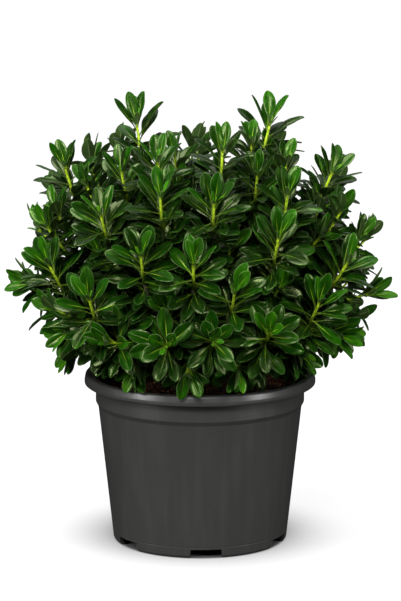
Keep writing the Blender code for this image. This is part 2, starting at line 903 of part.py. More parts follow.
def limb_paths():
    """Limbs in rings, each rising from the trunk's head and ending inside the crown."""
    paths = []
    for count, lift, share, turn in LIMB_RINGS:
        for index in range(count):
            azimuth = turn + 360 * index / count
            rise = math.radians(lift)
            heading = polar(azimuth, math.cos(rise), math.sin(rise))
            middle = Vector((0, 0, LIMB_PIVOT))
            reach = CROWN_REACH
            while crown_excess(middle + reach * heading) > 0:
                reach -= 2 * MM
            end = middle + share * reach * heading
            start = Vector((0, 0, TRUNK_TOP - 14 * MM)) + polar(azimuth, 3 * MM, 0)
            lean = start + (UP * 1.1 + polar(azimuth, 0.7, 0)) * 24 * MM
            near = end - (heading + 0.35 * UP).normalized() * share * reach * 0.4
            paths.append(bezier(start, lean, near, end, LIMB_STEPS))
    return paths


def branchlet_path(start, along, foot, axis):
    span = (foot - start).length
    lean = along.lerp((foot - start).normalized(), 0.45)
    return bezier(start, start + lean * span * 0.35, foot - axis * span * 0.4, foot, 2)


def grow_branchlets(limbs, feet, crowd):
    """From a free joint on a near limb to each foot, clear of the other shoots' stems."""
    joints = []
    for limb in limbs:
        for low, high in list(zip(limb, limb[1:]))[1:]:
            along = (high - low).normalized()
            joints += [(low.lerp(high, share), along) for share in BRANCHLET_JOINTS]
    tubes = []
    for name, foot, axis in feet:

        def detour(joint):
            start, along = joint
            back = foot - axis * BRANCHLET_SPAN - start
            return back.length + 0.035 * along.angle(foot - start)

        for joint in sorted(joints, key=detour):
            path = branchlet_path(*joint, foot, axis)
            wide = [radius + 0.5 * MM for radius in BRANCHLET_RADII]
            if crowd.is_clear(*tube(path, wide, BRANCHLET_SIDES, end_axis=axis), skip=(name,)):
                break
        else:
            print("no clear branchlet for", name)
        joints.remove(joint)
        tubes.append(tube(path, BRANCHLET_RADII, BRANCHLET_SIDES, end_axis=axis))
    return tubes


def build_wood(limbs, branchlets, material):
    trunk_path = [Vector((0, 0, TRUNK_FOOT + (TRUNK_TOP - TRUNK_FOOT) * i / 2)) for i in range(3)]
    trunk = make_object("woody_stems", *tube(trunk_path, TRUNK_RADII, 10), material)
    others = []
    for path in limbs:
        others.append(make_object("limb", *tube(path, LIMB_RADII, LIMB_SIDES)))
    for solid in branchlets:
        others.append(make_object("branchlet", *solid))
    join_by_union(trunk, others)
    return trunk


def main():
    clean_scene()
    draw = random.Random(SEED)
    plastic = make_material("pot_plastic", (0.031, 0.031, 0.029), 0.45)
    earth = make_material("potting_soil", (0.032, 0.020, 0.014), 0.95)
    bark = make_material("bark", (0.13, 0.09, 0.055), 0.8)
    leaf = make_material("leaf", (0.035, 0.11, 0.018), 0.35)
    pot = build_pot(plastic)
    soil = build_soil(earth)

    leading, filling = plan_shoots(draw)
    pairs = pair_up(filling)
    groups = [(f"leafy_shoot_{i + 1:02d}", [shoot]) for i, shoot in enumerate(leading)]
    groups += [(f"leafy_fork_{i + 1:02d}", pair) for i, pair in enumerate(pairs)]
    print(len(leading), "leading shoots,", len(filling), "others,", len(groups), "leafy nodes")

    crowd = Crowd()
    for thing in (pot, soil):
        points = [vertex.co.copy() for vertex in thing.data.vertices]
        crowd.add(thing.name, points, [tuple(face.vertices) for face in thing.data.polygons])
    feet = lay_stems(groups, crowd)
    limbs = limb_paths()
    branchlets = grow_branchlets(limbs, feet, crowd)
    for path in limbs:
        crowd.add("woody_stems", *tube(path, LIMB_RADII, LIMB_SIDES))
    for solid in branchlets:
        crowd.add("woody_stems", *solid)

    skins = place_blades(groups, crowd)
    build_wood(limbs, branchlets, bark)
    for name, skin in skins.items():
        make_object(name, skin.points, skin.faces, leaf)


main()
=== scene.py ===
import json
import math
import random
from itertools import combinations, product

import bpy
import numpy as np
from mathutils import Matrix, Vector, noise
from mathutils.bvhtree import BVHTree

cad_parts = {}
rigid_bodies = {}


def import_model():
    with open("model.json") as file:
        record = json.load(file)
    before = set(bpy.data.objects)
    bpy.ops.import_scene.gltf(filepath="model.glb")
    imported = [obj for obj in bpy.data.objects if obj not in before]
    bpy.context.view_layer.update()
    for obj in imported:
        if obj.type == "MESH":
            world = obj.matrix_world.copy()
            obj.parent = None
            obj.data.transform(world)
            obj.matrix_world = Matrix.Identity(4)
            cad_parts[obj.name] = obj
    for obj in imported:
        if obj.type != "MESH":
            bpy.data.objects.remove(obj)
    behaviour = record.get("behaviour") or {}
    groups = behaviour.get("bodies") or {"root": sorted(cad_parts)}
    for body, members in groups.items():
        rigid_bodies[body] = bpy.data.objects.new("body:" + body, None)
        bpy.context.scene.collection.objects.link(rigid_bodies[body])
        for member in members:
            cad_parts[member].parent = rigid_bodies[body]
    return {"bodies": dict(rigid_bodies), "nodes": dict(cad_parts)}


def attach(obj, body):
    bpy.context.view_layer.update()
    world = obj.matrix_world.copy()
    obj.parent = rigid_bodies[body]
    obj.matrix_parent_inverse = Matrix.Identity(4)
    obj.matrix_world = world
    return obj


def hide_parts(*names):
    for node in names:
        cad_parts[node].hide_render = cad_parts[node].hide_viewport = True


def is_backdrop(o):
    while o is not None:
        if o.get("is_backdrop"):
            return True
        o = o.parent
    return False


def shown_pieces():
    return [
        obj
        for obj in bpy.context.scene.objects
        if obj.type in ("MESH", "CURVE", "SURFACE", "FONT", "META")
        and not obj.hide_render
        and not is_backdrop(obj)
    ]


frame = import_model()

mm = 0.001
gap = 0.3 * mm  # between the model's neighbouring pieces
up = Vector((0, 0, 1))
cadObjects = set(frame["nodes"].values()) | set(frame["bodies"].values())
for thing in list(bpy.data.objects):  # a new file's own cube, lamp and camera
    if thing not in cadObjects:
        bpy.data.objects.remove(thing, do_unlink=True)
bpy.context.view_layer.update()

# Camera, lights, floor

studio = {
    "eye": Vector((0, -4.0, 1.078)),
    "dip": 11.09,  # degrees that the camera looks down
    "sensor": 36,  # millimetres
    "lens": 202.16,
    "shift": 0.5 / 601,
    "clip": (0.1, 40),
    "floorReach": 40.0,  # so far that no horizon shows
    "floorColor": (0.15, 0.15, 0.15),
    "nearGlow": 0.90,  # the paper glows, with a painted soft shadow near the foot and painted shade under it
    "farGlow": 0.99,  # more where the lamps reach less
    "paintedShadowCentre": (-0.002, 0.021),
    "paintedShadeUnderPot": (0.099, 0.106),  # metres from the pot's axis where the glow starts, with painted shade under the pot inside it
    "paintedShadowRise": (0.0785, 0.204),  # metres from its centre where the painted shadow fades and the glow rises to its near share
    "glowGrow": (0.20, 0.90),  # and from there to its far share
    "skyStrength": 0.02,
    # name: place, what it points at, width, depth, watts
    "lights": {
        "overhead": ((-0.4, -0.4, 2.4), (0, 0, 0.3), 1.4, 1.4, 62),
        "back": ((0.0, 1.7, 1.9), (0, 0, 0.4), 2.4, 1.2, 7),
        "left": ((-2.0, -1.3, 0.9), (0, 0, 0.2), 0.5, 1.6, 42),
        "right": ((2.0, -1.2, 0.9), (0, 0, 0.2), 0.5, 1.6, 36),
        "front": ((-0.4, -3.6, 2.6), (0, 0, 0.25), 1.6, 0.8, 102),
    },
}


def placeCamera():
    optics = bpy.data.cameras.new("camera")
    optics.sensor_fit = "AUTO"
    optics.sensor_width = studio["sensor"]
    optics.lens = studio["lens"]
    optics.shift_x = studio["shift"]
    optics.clip_start, optics.clip_end = studio["clip"]
    camera = bpy.data.objects.new("camera", optics)
    camera.location = studio["eye"]
    camera.rotation_euler = (math.radians(90 - studio["dip"]), 0, 0)
    bpy.context.scene.collection.objects.link(camera)
    bpy.context.scene.camera = camera


def placeLights():
    for name, (place, target, width, depth, watts) in studio["lights"].items():
        light = bpy.data.lights.new(name, "AREA")
        light.shape = "RECTANGLE"
        light.size = width
        light.size_y = depth
        light.energy = watts
        lamp = bpy.data.objects.new(name, light)
        lamp.location = place
        aim = Vector(target) - Vector(place)
        lamp.rotation_euler = aim.to_track_quat("-Z", "Y").to_euler()
        bpy.context.scene.collection.objects.link(lamp)
    world = bpy.data.worlds.new("sky")
    world.use_nodes = True
    sky = world.node_tree.nodes["Background"]
    sky.inputs["Color"].default_value = (1, 1, 1, 1)
    sky.inputs["Strength"].default_value = studio["skyStrength"]
    bpy.context.scene.world = world
    bpy.context.scene.view_settings.view_transform = "Standard"
    bpy.context.scene.view_settings.look = "None"


# Node helpers


def newMaterial(name):
    material = bpy.data.materials.new(name)
    material.use_nodes = True
    tree = material.node_tree
    return material, tree, tree.nodes["Principled BSDF"]


def feed(tree, node, inputs):
    for key, value in inputs.items():
        if isinstance(value, bpy.types.NodeSocket):
            tree.links.new(value, node.inputs[key])
        else:
            node.inputs[key].default_value = value


def addNode(tree, kind, inputs=None, **settings):
    node = tree.nodes.new("ShaderNode" + kind)
    for key, value in settings.items():
        setattr(node, key, value)
    feed(tree, node, inputs or {})
    return node


def maths(tree, operation, first, second=0.0, third=0.0, clamp=False):
    node = addNode(tree, "Math", {0: first, 1: second, 2: third}, operation=operation)
    node.use_clamp = clamp
    return node.outputs[0]


def times(tree, first, second):
    return maths(tree, "MULTIPLY", first, second)


def scaled(tree, value, factor, offset, clamp=False):
    return maths(tree, "MULTIPLY_ADD", value, factor, offset, clamp)


def smoothStep(tree, value, low, high):
    inputs = {"Value": value, "From Min": low, "From Max": high}
    node = addNode(tree, "MapRange", inputs, interpolation_type="SMOOTHSTEP")
    return node.outputs["Result"]


def mixColors(tree, share, first, second):
    inputs = {0: share}
    for key, color in ((6, first), (7, second)):
        inputs[key] = color if isinstance(color, bpy.types.NodeSocket) else (*color, 1)
    return addNode(tree, "Mix", inputs, data_type="RGBA").outputs[2]


def colorRamp(tree, value, stops):
    node = addNode(tree, "ValToRGB", {"Fac": value})
    elements = node.color_ramp.elements
    while len(elements) < len(stops):
        elements.new(0.5)
    for element, (place, color) in zip(elements, stops):
        element.position = place
        element.color = (*color, 1)
    return node.outputs["Color"]


def noiseValue(tree, place, scale, detail):
    inputs = {"Vector": place, "Scale": scale, "Detail": detail, "Roughness": 0.55}
    return addNode(tree, "TexNoise", inputs).outputs["Fac"]


def stretched(tree, place, scale):
    return addNode(tree, "Mapping", {"Vector": place, "Scale": scale}).outputs["Vector"]


def objectPlace(tree):
    return addNode(tree, "TexCoord").outputs["Object"]


def attribute(tree, name):
    return addNode(tree, "Attribute", attribute_name=name).outputs["Fac"]


def addBump(tree, shader, height, distance, strength=1.0):
    inputs = {"Height": height, "Distance": distance, "Strength": strength}
    feed(tree, shader, {"Normal": addNode(tree, "Bump", inputs).outputs["Normal"]})


# Mesh helpers


def makePiece(name, points, faces, material, values=None, sharpAngle=None):
    mesh = bpy.data.meshes.new(name)
    mesh.from_pydata(np.asarray(points, float).tolist(), [], [list(face) for face in faces])
    mesh.materials.append(material)
    for key, numbers in (values or {}).items():
        layer = mesh.attributes.new(key, "FLOAT", "POINT")
        layer.data.foreach_set("value", np.asarray(numbers, np.float32))
    mesh.shade_smooth()
    if sharpAngle:
        mesh.set_sharp_from_angle(angle=math.radians(sharpAngle))
    piece = bpy.data.objects.new(name, mesh)
    bpy.context.scene.collection.objects.link(piece)
    return piece


def joined(skins):
    # the points and faces of several skins as those of one
    points, faces = [], []
    for morePoints, moreFaces in skins:
        first = len(points)
        points += [tuple(point) for point in morePoints]
        faces += [tuple(first + i for i in face) for face in moreFaces]
    return points, faces


def applyModifiers(piece):
    graph = bpy.context.evaluated_depsgraph_get()
    mesh = bpy.data.meshes.new_from_object(piece.evaluated_get(graph))
    piece.modifiers.clear()
    piece.data = mesh


def polar(turn, radius, height):
    angle = math.radians(turn)
    return Vector((radius * math.cos(angle), radius * math.sin(angle), height))


def ringFaces(low, high, around):
    # between two rings of points, low and high are their first ones
    after = [(k + 1) % around for k in range(around)]
    return [(low + k, low + after[k], high + after[k], high + k) for k in range(around)]


def poleFaces(first, pole, around):
    return [(first + k, first + (k + 1) % around, pole) for k in range(around)]


def turned(profile, sides):
    # points and faces of a profile (radius, height) turned about Z, radius 0 is a pole
    points, faces, firsts = [], [], []
    for radius, height in profile:
        firsts.append((len(points), radius == 0))
        count = 1 if radius == 0 else sides
        points += [polar(360 * side / sides, radius, height) for side in range(count)]
    for (low, lowPole), (high, highPole) in zip(firsts, firsts[1:]):
        if lowPole:
            faces += [face[::-1] for face in poleFaces(high, low, sides)]
        elif highPole:
            faces += poleFaces(low, high, sides)
        else:
            faces += ringFaces(low, high, sides)
    return points, faces


def roundCorner(before, corner, after, radius, steps):
    # an arc of that radius in place of a profile's corner
    corner = Vector(corner)
    back = (Vector(before) - corner).normalized()
    ahead = (Vector(after) - corner).normalized()
    half = back.angle(ahead) / 2
    middle = corner + (back + ahead).normalized() * radius / math.sin(half)
    start = corner + back * radius / math.tan(half) - middle
    end = corner + ahead * radius / math.tan(half) - middle
    places = []
    for step in range(steps + 1):
        way = start.lerp(end, step / steps).normalized()
        places.append(tuple(middle + way * radius))
    return places


def roundedProfile(corners):
    # corners are (radius, height, rounding)
    profile = []
    for index, (radius, height, rounding) in enumerate(corners):
        if rounding == 0:
            profile.append((radius, height))
            continue
        before, after = corners[index - 1][:2], corners[index + 1][:2]
        steps = 3 if rounding < 1.2 * mm else 6
        profile += roundCorner(before, (radius, height), after, rounding, steps)
    return profile


def bezier(first, leanA, leanB, last, steps):
    places = []
    for step in range(steps + 1):
        t = step / steps
        s = 1 - t
        places.append(s**3 * first + 3 * s * s * t * leanA + 3 * s * t * t * leanB + t**3 * last)
    return places


def tube(path, radii, sides, tip=None):
    # points and faces of a round stem along a path, with a radius for each place
    points, faces, sideAxis = [], [], None
    last = len(path) - 1
    for index, (place, radius) in enumerate(zip(path, radii)):
        ahead = (path[min(index + 1, last)] - path[max(index - 1, 0)]).normalized()
        if sideAxis is None:
            sideAxis = ahead.orthogonal()
        sideAxis = (sideAxis - ahead * sideAxis.dot(ahead)).normalized()
        other = ahead.cross(sideAxis)
        for side in range(sides):
            angle = 2 * math.pi * side / sides
            points.append(place + radius * (math.cos(angle) * sideAxis + math.sin(angle) * other))
    faces.append(tuple(reversed(range(sides))))
    for ring in range(last):
        faces += ringFaces(ring * sides, (ring + 1) * sides, sides)
    top = last * sides
    if tip is None:
        faces.append(tuple(range(top, top + sides)))
    else:
        points.append(tip)
        faces += poleFaces(top, top + sides, sides)
    return points, faces


# Pot

pot = {
    "sides": 192,
    "height": 206 * mm,
    "rimRadius": 140 * mm,
    "rimRound": 2.4 * mm,
    "rimLean": 1.4 * mm,  # how far the rim's face leans in at its top
    "rimTopInner": 131 * mm,
    "flange": 5 * mm,
    "skirtHeight": 12 * mm,
    "skirtWall": 2.4 * mm,
    "bandRadius": 126.5 * mm,
    "bandBottom": 172 * mm,
    "bodyTop": 166.5 * mm,
    "bodyTopRadius": 123.5 * mm,
    "bodyTaper": 0.1095,
    "wall": 2.2 * mm,
    "footRound": 5 * mm,
    "footWidth": 1.8 * mm,
    "plateBottom": 8 * mm,
    "plateTop": 10.5 * mm,
    "creaseHeight": 14 * mm,  # a fine groove just above the foot
    "creaseDepth": 0.18 * mm,
    "creaseHalf": 0.5 * mm,
    "creaseRings": [rise * mm for rise in (-7.5, -4.5, -1.4, -0.7, -0.2, 0.2, 0.7, 1.4, 5.0)],
    "notches": 6,
    "notchTurn": -86.0,
    "notchWidth": 39 * mm,
    "notchTaper": 2 * mm,
    "notchFoot": -2 * mm,  # the cutters start below the ground
    "notchHeight": 11.4 * mm,
    "notchReach": (88 * mm, 112 * mm),
    "color": (0.0415, 0.0415, 0.040),
    "paleColor": (0.062, 0.062, 0.0595),
}


def plasticMaterial():
    material, tree, shader = newMaterial("potPlastic")
    place = objectPlace(tree)
    streaks = noiseValue(tree, stretched(tree, place, (95, 95, 3)), 1.0, 4)
    cloud = noiseValue(tree, place, 9, 3)
    share = times(tree, smoothStep(tree, streaks, 0.42, 0.72), 0.35)
    share = maths(tree, "ADD", share, times(tree, cloud, 0.35))
    feed(tree, shader, {
        "Base Color": mixColors(tree, share, pot["color"], pot["paleColor"]),
        "Roughness": scaled(tree, streaks, 0.12, 0.30),
        "Specular IOR Level": 0.6,
    })
    grain = noiseValue(tree, place, 900, 2)
    rings = noiseValue(tree, stretched(tree, place, (4, 4, 700)), 1.0, 3)
    height = scaled(tree, grain, 0.25, streaks)
    height = scaled(tree, rings, 1.6, height)
    addBump(tree, shader, height, 0.12 * mm, 0.6)
    return material


def bodyRadius(height):
    return pot["bodyTopRadius"] - pot["bodyTaper"] * (pot["bodyTop"] - height)


def potProfile():
    foot = bodyRadius(pot["footRound"]) - pot["footRound"]
    footInner = foot - pot["footWidth"]
    skirtInner = pot["rimRadius"] - pot["skirtWall"]
    skirtBottom = pot["height"] - pot["skirtHeight"]
    underFlange = pot["height"] - pot["flange"]
    inner = pot["bandRadius"] - pot["wall"]
    footArc = []
    for step in range(9):
        turn = math.radians(-90 + 90 * step / 8)
        radius = foot + pot["footRound"] * math.cos(turn)
        footArc.append((radius, pot["footRound"] * (1 + math.sin(turn)), 0))
    crease = []
    for rise in pot["creaseRings"]:
        depth = pot["creaseDepth"] if abs(rise) < pot["creaseHalf"] else 0
        height = pot["creaseHeight"] + rise
        crease.append((bodyRadius(height) - depth, height, 0))
    body = [
        (bodyRadius(pot["bodyTop"] * share), pot["bodyTop"] * share, 0)
        for share in (0.2, 0.4, 0.6, 0.8)
    ]
    return roundedProfile([
        (0, pot["plateBottom"], 0),
        (footInner, pot["plateBottom"], 1 * mm),
        (footInner, 0, 0),
        *footArc,
        *crease,
        *body,
        (pot["bodyTopRadius"], pot["bodyTop"], 1 * mm),
        (pot["bandRadius"], pot["bandBottom"], 1.5 * mm),
        (pot["bandRadius"], underFlange, 1.5 * mm),
        (skirtInner, underFlange, 1 * mm),
        (skirtInner, skirtBottom, 0.6 * mm),
        (pot["rimRadius"], skirtBottom, 1 * mm),
        (pot["rimRadius"], pot["height"] - pot["skirtHeight"] * 0.6, 2 * mm),
        (pot["rimRadius"] - pot["rimLean"], pot["height"], pot["rimRound"]),
        (pot["rimTopInner"], pot["height"], 2 * mm),
        (inner, underFlange, 1.5 * mm),
        (inner, pot["bandBottom"], 1.5 * mm),
        (pot["bodyTopRadius"] - pot["wall"], pot["bodyTop"], 1 * mm),
        (bodyRadius(pot["plateTop"]) - pot["wall"], pot["plateTop"], 3 * mm),
        (0, pot["plateTop"], 0),
    ])


def notchCutters():
    half, low, high = pot["notchWidth"] / 2, pot["notchFoot"], pot["notchHeight"]
    narrow = half - pot["notchTaper"] / 2
    section = ((-half, low), (half, low), (narrow, high), (-narrow, high))
    block = [(3, 2, 1, 0), (4, 5, 6, 7), *ringFaces(0, 4, 4)]
    skins = []
    for notch in range(pot["notches"]):
        turn = pot["notchTurn"] + 360 / pot["notches"] * notch
        spin = Matrix.Rotation(math.radians(turn), 4, "Z")
        ends = product(pot["notchReach"], section)
        skins.append(([spin @ Vector((radius, *spot)) for radius, spot in ends], block))
    return joined(skins)


def buildPot():
    material = plasticMaterial()
    piece = makePiece("nursery_pot", *turned(potProfile(), pot["sides"]), material)
    cutter = makePiece("notches", *notchCutters(), material)
    cut = piece.modifiers.new("notches", "BOOLEAN")
    cut.operation = "DIFFERENCE"
    cut.object = cutter
    cut.solver = "EXACT"
    applyModifiers(piece)
    bpy.data.objects.remove(cutter, do_unlink=True)
    piece.data.set_sharp_from_angle(angle=math.radians(38))
    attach(piece, "root")
    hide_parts("pot")


# Soil

soil = {
    "edgeHeight": 186 * mm,
    "mound": 5 * mm,
    "bumps": 1.6 * mm,
    "bumpScales": (60, 260),
    "bumpFade": (12, 0.15),  # towards the pot's wall, down to that share of them
    "rings": 56,
    "sides": 168,
    "hole": 10 * mm,
    "holeFoot": 151.7 * mm,
    "crumbs": 1500,
    "crumbSizes": (0.8 * mm, 3.2 * mm),
    "crumbMargin": 4 * mm,  # kept free along the pot's wall
    "chips": 160,  # longer bits of bark
    "chipStretch": (2.6, 1.0, 0.5),
    "crumbLift": 0.25,  # share of its size that its middle stands over the soil
    "chipLift": 0.1,
    "seed": 3,
    "colors": (
        (0.30, (0.003, 0.002, 0.002)), (0.52, (0.008, 0.005, 0.003)),
        (0.66, (0.022, 0.011, 0.006)), (0.80, (0.060, 0.030, 0.015)),
    ),
    "speckColor": (0.75, 0.26, 0.09),
}


def soilMaterial():
    material, tree, shader = newMaterial("pottingMix")
    place = objectPlace(tree)
    coarse = noiseValue(tree, place, 60, 5)
    fine = noiseValue(tree, place, 420, 4)
    specks = noiseValue(tree, place, 800, 1)
    color = colorRamp(tree, coarse, soil["colors"])
    color = mixColors(tree, smoothStep(tree, specks, 0.60, 0.67), color, soil["speckColor"])
    feed(tree, shader, {
        "Base Color": color,
        "Roughness": scaled(tree, fine, 0.3, 0.72),
        "Specular IOR Level": 0.25,
    })
    addBump(tree, shader, maths(tree, "ADD", coarse, fine), 1.2 * mm)
    return material


def soilHeight(x, y):
    radius = math.hypot(x, y)
    share = min(radius / (pot["bandRadius"] - pot["wall"]), 1)
    coarse, fine = soil["bumpScales"]
    rough = noise.fractal(Vector((x, y, 0)) * coarse, 1.0, 2.0, 4)
    rough += 0.5 * noise.noise(Vector((x, y, 0.3)) * fine)
    slope, least = soil["bumpFade"]
    rough *= min(1, (1 - share) * slope + least)
    return soil["edgeHeight"] + soil["mound"] * (1 - share**2) + soil["bumps"] * rough


def crumbShapes(draw):
    # small lumps pressed into the top, each a rough ball with twenty faces
    golden = (1 + 5**0.5) / 2
    ball = []
    for a, b in product((-1, 1), (-golden, golden)):
        ball += [(0, a, b), (a, b, 0), (b, 0, a)]
    ball = np.array(ball) / math.hypot(1, golden)
    side = 1.06  # a little more than its edges
    shell = []
    for i, j, k in combinations(range(12), 3):
        if max(np.linalg.norm(ball[a] - ball[b]) for a, b in ((i, j), (j, k), (i, k))) < side:
            outward = np.dot(np.cross(ball[j] - ball[i], ball[k] - ball[i]), ball[i]) > 0
            shell.append((i, j, k) if outward else (i, k, j))
    lumps = []
    reach = pot["bandRadius"] - pot["wall"] - soil["crumbMargin"]
    for index in range(soil["crumbs"] + soil["chips"]):
        isChip = index >= soil["crumbs"]
        radius = reach * math.sqrt(draw.uniform(0.01, 1))
        spot = polar(draw.uniform(0, 360), radius, 0)
        size = draw.uniform(*soil["crumbSizes"]) * draw.uniform(0.5, 1)
        stretch, lift = soil["chipStretch"], soil["chipLift"]
        if not isChip:
            stretch = (1.0, draw.uniform(0.7, 1), draw.uniform(0.6, 0.9))
            lift = soil["crumbLift"]
        tilt = Matrix.Rotation(draw.uniform(-0.5, 0.5), 3, "X")
        spin = np.array(Matrix.Rotation(draw.uniform(0, 6.28), 3, "Z") @ tilt)
        jitter = np.array([[draw.uniform(0.75, 1.2)] for _ in range(12)])
        lump = (ball * jitter * np.array(stretch) * size) @ spin.T
        spot.z = soilHeight(spot.x, spot.y) + size * lift
        lumps.append((lump + np.array(spot), shell))
    return lumps


def buildSoil():
    draw = random.Random(soil["seed"])
    material = soilMaterial()
    edge = pot["bandRadius"] - pot["wall"] - gap
    floor = pot["plateTop"] + gap
    inner = pot["wall"] + gap
    profile = [
        (0, floor),
        (bodyRadius(pot["plateTop"]) - inner, floor),
        (pot["bodyTopRadius"] - inner, pot["bodyTop"]),
        (edge, pot["bandBottom"]),
    ]
    rings = range(soil["rings"] + 1)
    spread = [1 - (1 - soil["hole"] / edge) * ring / soil["rings"] for ring in rings]
    profile += [(edge * share, soil["edgeHeight"]) for share in spread]
    profile += [(soil["hole"], soil["holeFoot"]), (0, soil["holeFoot"])]
    points, faces = turned(profile, soil["sides"])
    first = 1 + 3 * soil["sides"]
    for index in range(first, first + (soil["rings"] + 1) * soil["sides"]):
        x, y = points[index][0], points[index][1]
        points[index] = (x, y, soilHeight(x, y))
    skin = joined([(points, faces), *crumbShapes(draw)])
    piece = makePiece("potting_mix", *skin, material, sharpAngle=50)
    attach(piece, "root")
    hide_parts("soil")


# Crown: the plan of the shoots, the same as the model's

crown = {
    "seed": 7,
    "middle": 331 * mm,
    "reach": 203 * mm,
    "up": 182 * mm,
    "down": 114 * mm,
    "power": 2.6,
    "liftLow": 0.45,
    "liftHigh": 1.5,
    "hiddenShoots": 37,
    "places": 600,
    "lowest": -0.72,
    "stray": 0.09,
    "shootLength": 42 * mm,
    "leafyDepth": 29 * mm,
    "bud": 3 * mm,
    "stemRadii": (2.0 * mm, 1.4 * mm),
    "forkNeck": 6 * mm,
    "forkLeans": (0.3, 0.4),  # shares of an arm's span that it keeps its first and last way
    "forkSteps": 8,
    "forkReaches": [reach * mm for reach in (34, 26, 44, 18, 54, 10, 64)],
    "forkShares": (0.5, 0.35, 0.65, 0.2, 0.8, 0, 1),
}
goldenTurn = 137.508
ringSlack = 0.06 * mm  # a point of the model this near to a ring's radius is on it
matchLimit = 0.1 * mm  # a part of the model is found when its points are this near
# across and up from the rim's middle in the front view, back into the crown (mm), size, lean
leadingShoots = (
    (-76, 296, 0, 1.18, -7),
    (84, 297, 0, 1.18, 13),
    (-51, 251, 0, 1.0, -4),
    (27, 265, 0, 1.0, 2),
    (159, 239, 0, 1.0, 21),
    (-163, 245, 0, 1.0, -16),
    (-120, 188, 0, 1.04, -12),
    (-48, 209, 0, 1.04, -3),
    (17, 202, 0, 1.06, 2),
    (106, 211, 0, 1.04, 8),
    (-182, 127, -4, 1.04, -25),
    (-72, 138, 0, 1.06, -6),
    (-8, 128, 0, 1.0, 0),
    (95, 160, 0, 1.08, 9),
    (178, 130, -4, 1.04, 30),
    (-134, 86, 0, 1.1, -12),
    (42, 94, 7, 1.06, 8),
    (144, 82, 0, 1.04, 20),
    (200, 93, 0, 1.06, 75),
    (-41, 31, -1, 1.08, -5),
    (16, 37, 0, 0.96, 2),
    (84, 46, -1, 1.02, 12),
    (-156, 51, 0, 0.96, -115),
    (162, 46, 0, 1.0, 95),
    (-200, 108, 0, 1.02, -80),
)
fillingShoots = (
    (-30, 258, 40, 0.92),
    (-95, 240, 36, 0.96),
    (62, 273, 40, 0.88),
    (104, 249, 35, 0.94),
    (-174, 194, 20, 0.88),
    (-136, 222, 45, 0.9),
    (69, 236, 30, 0.88),
    (-29, 219, 52, 0.9),
    (169, 191, 18, 0.96),
    (143, 194, 55, 0.9),
    (-184, 173, 12, 0.88),
    (192, 160, 12, 0.88),
    (-34, 160, 50, 0.94),
    (36, 148, 50, 0.94),
    (-121, 142, 45, 0.94),
    (143, 160, 50, 0.92),
    (-172, 73, 8, 0.98),
    (-39, 73, 40, 0.92),
    (-91, 60, 30, 0.94),
    (95, 99, 45, 0.94),
    (184, 65, 12, 0.94),
    (-109, 35, 4, 1.0),
    (121, 26, 16, 0.94),
    (-78, 6, 14, 0.9),
    (46, 6, 20, 0.9),
)
# no shoot at the back shows over this line in the front view, across and up (mm)
outline = (
    (-215, 110), (-185, 190), (-150, 240), (-100, 268), (-60, 262), (0, 268),
    (60, 268), (105, 262), (150, 236), (195, 165), (215, 110),
)


def crownExcess(place):
    rise = place.z - crown["middle"]
    height = crown["up"] if rise > 0 else crown["down"]
    out = math.hypot(place.x, place.y) / crown["reach"]
    return out ** crown["power"] + abs(rise / height) ** crown["power"] - 1


def crownNormal(place):
    step = 0.5 * mm
    slope = [
        crownExcess(place + step * axis) - crownExcess(place - step * axis)
        for axis in (Vector((1, 0, 0)), Vector((0, 1, 0)), up)
    ]
    return Vector(slope).normalized()


def seenPlace(across, rise, back):
    # the place on the crown that the camera sees there
    dip = math.radians(studio["dip"])
    place = Vector((across, 0, pot["height"])) + rise * Vector((0, math.sin(dip), math.cos(dip)))
    sight = (studio["eye"] - place).normalized()
    nearest, least = place, math.inf
    reach, step = 1.3 * crown["reach"], 1.5 * mm
    for index in range(int(2 * reach / step)):
        tried = place + sight * (reach - step * index)
        excess = crownExcess(tried)
        if excess < least:
            nearest, least = tried, excess
        if excess <= 0:
            break
    return nearest - sight * back


def spiralPlace(index):
    level = 1 - (1 - crown["lowest"]) * (index + 0.5) / crown["places"]
    flat = polar(index * goldenTurn, math.sqrt(1 - level * level), level)
    low, high = 0.0, 2 * crown["reach"]
    middle = Vector((0, 0, crown["middle"]))
    for _ in range(30):
        reach = (low + high) / 2
        if crownExcess(middle + reach * flat) > 0:
            high = reach
        else:
            low = reach
    return middle + low * flat


def underOutline(place):
    dip = math.radians(studio["dip"])
    across = place.x / mm
    for (left, leftUp), (right, rightUp) in zip(outline, outline[1:]):
        if left <= across <= right:
            limit = leftUp + (rightUp - leftUp) * (across - left) / (right - left)
            above = place - Vector((0, 0, pot["height"]))
            rise = above.z * math.cos(dip) + above.y * math.sin(dip)
            if rise > limit * mm:
                return place - up * (rise - limit * mm) / math.cos(dip)
    return place


def makeShoot(place, size, built, draw, lean=None):
    share = (place.z - pot["height"]) / (crown["middle"] + crown["up"] - pot["height"])
    lift = crown["liftLow"] + (crown["liftHigh"] - crown["liftLow"]) * min(max(share, 0), 1)
    axis = crownNormal(place) + lift * up
    stray = Vector((draw.uniform(-1, 1), draw.uniform(-1, 1), draw.uniform(-1, 1)))
    axis = (axis.normalized() + crown["stray"] * stray).normalized()
    if lean is not None:
        flat = math.hypot(axis.x, axis.z)
        angle = math.radians(lean)
        axis = Vector((flat * math.sin(angle), axis.y, flat * math.cos(angle)))
    return {
        "place": place, "axis": axis, "size": size, "built": built,
        "foot": place - axis * crown["shootLength"] * size,
        "turn": draw.uniform(0, 360), "leading": lean is not None,
        "front": (studio["eye"] - place).normalized() if lean is not None
        else Vector((place.x, place.y, 0)).normalized(),
    }


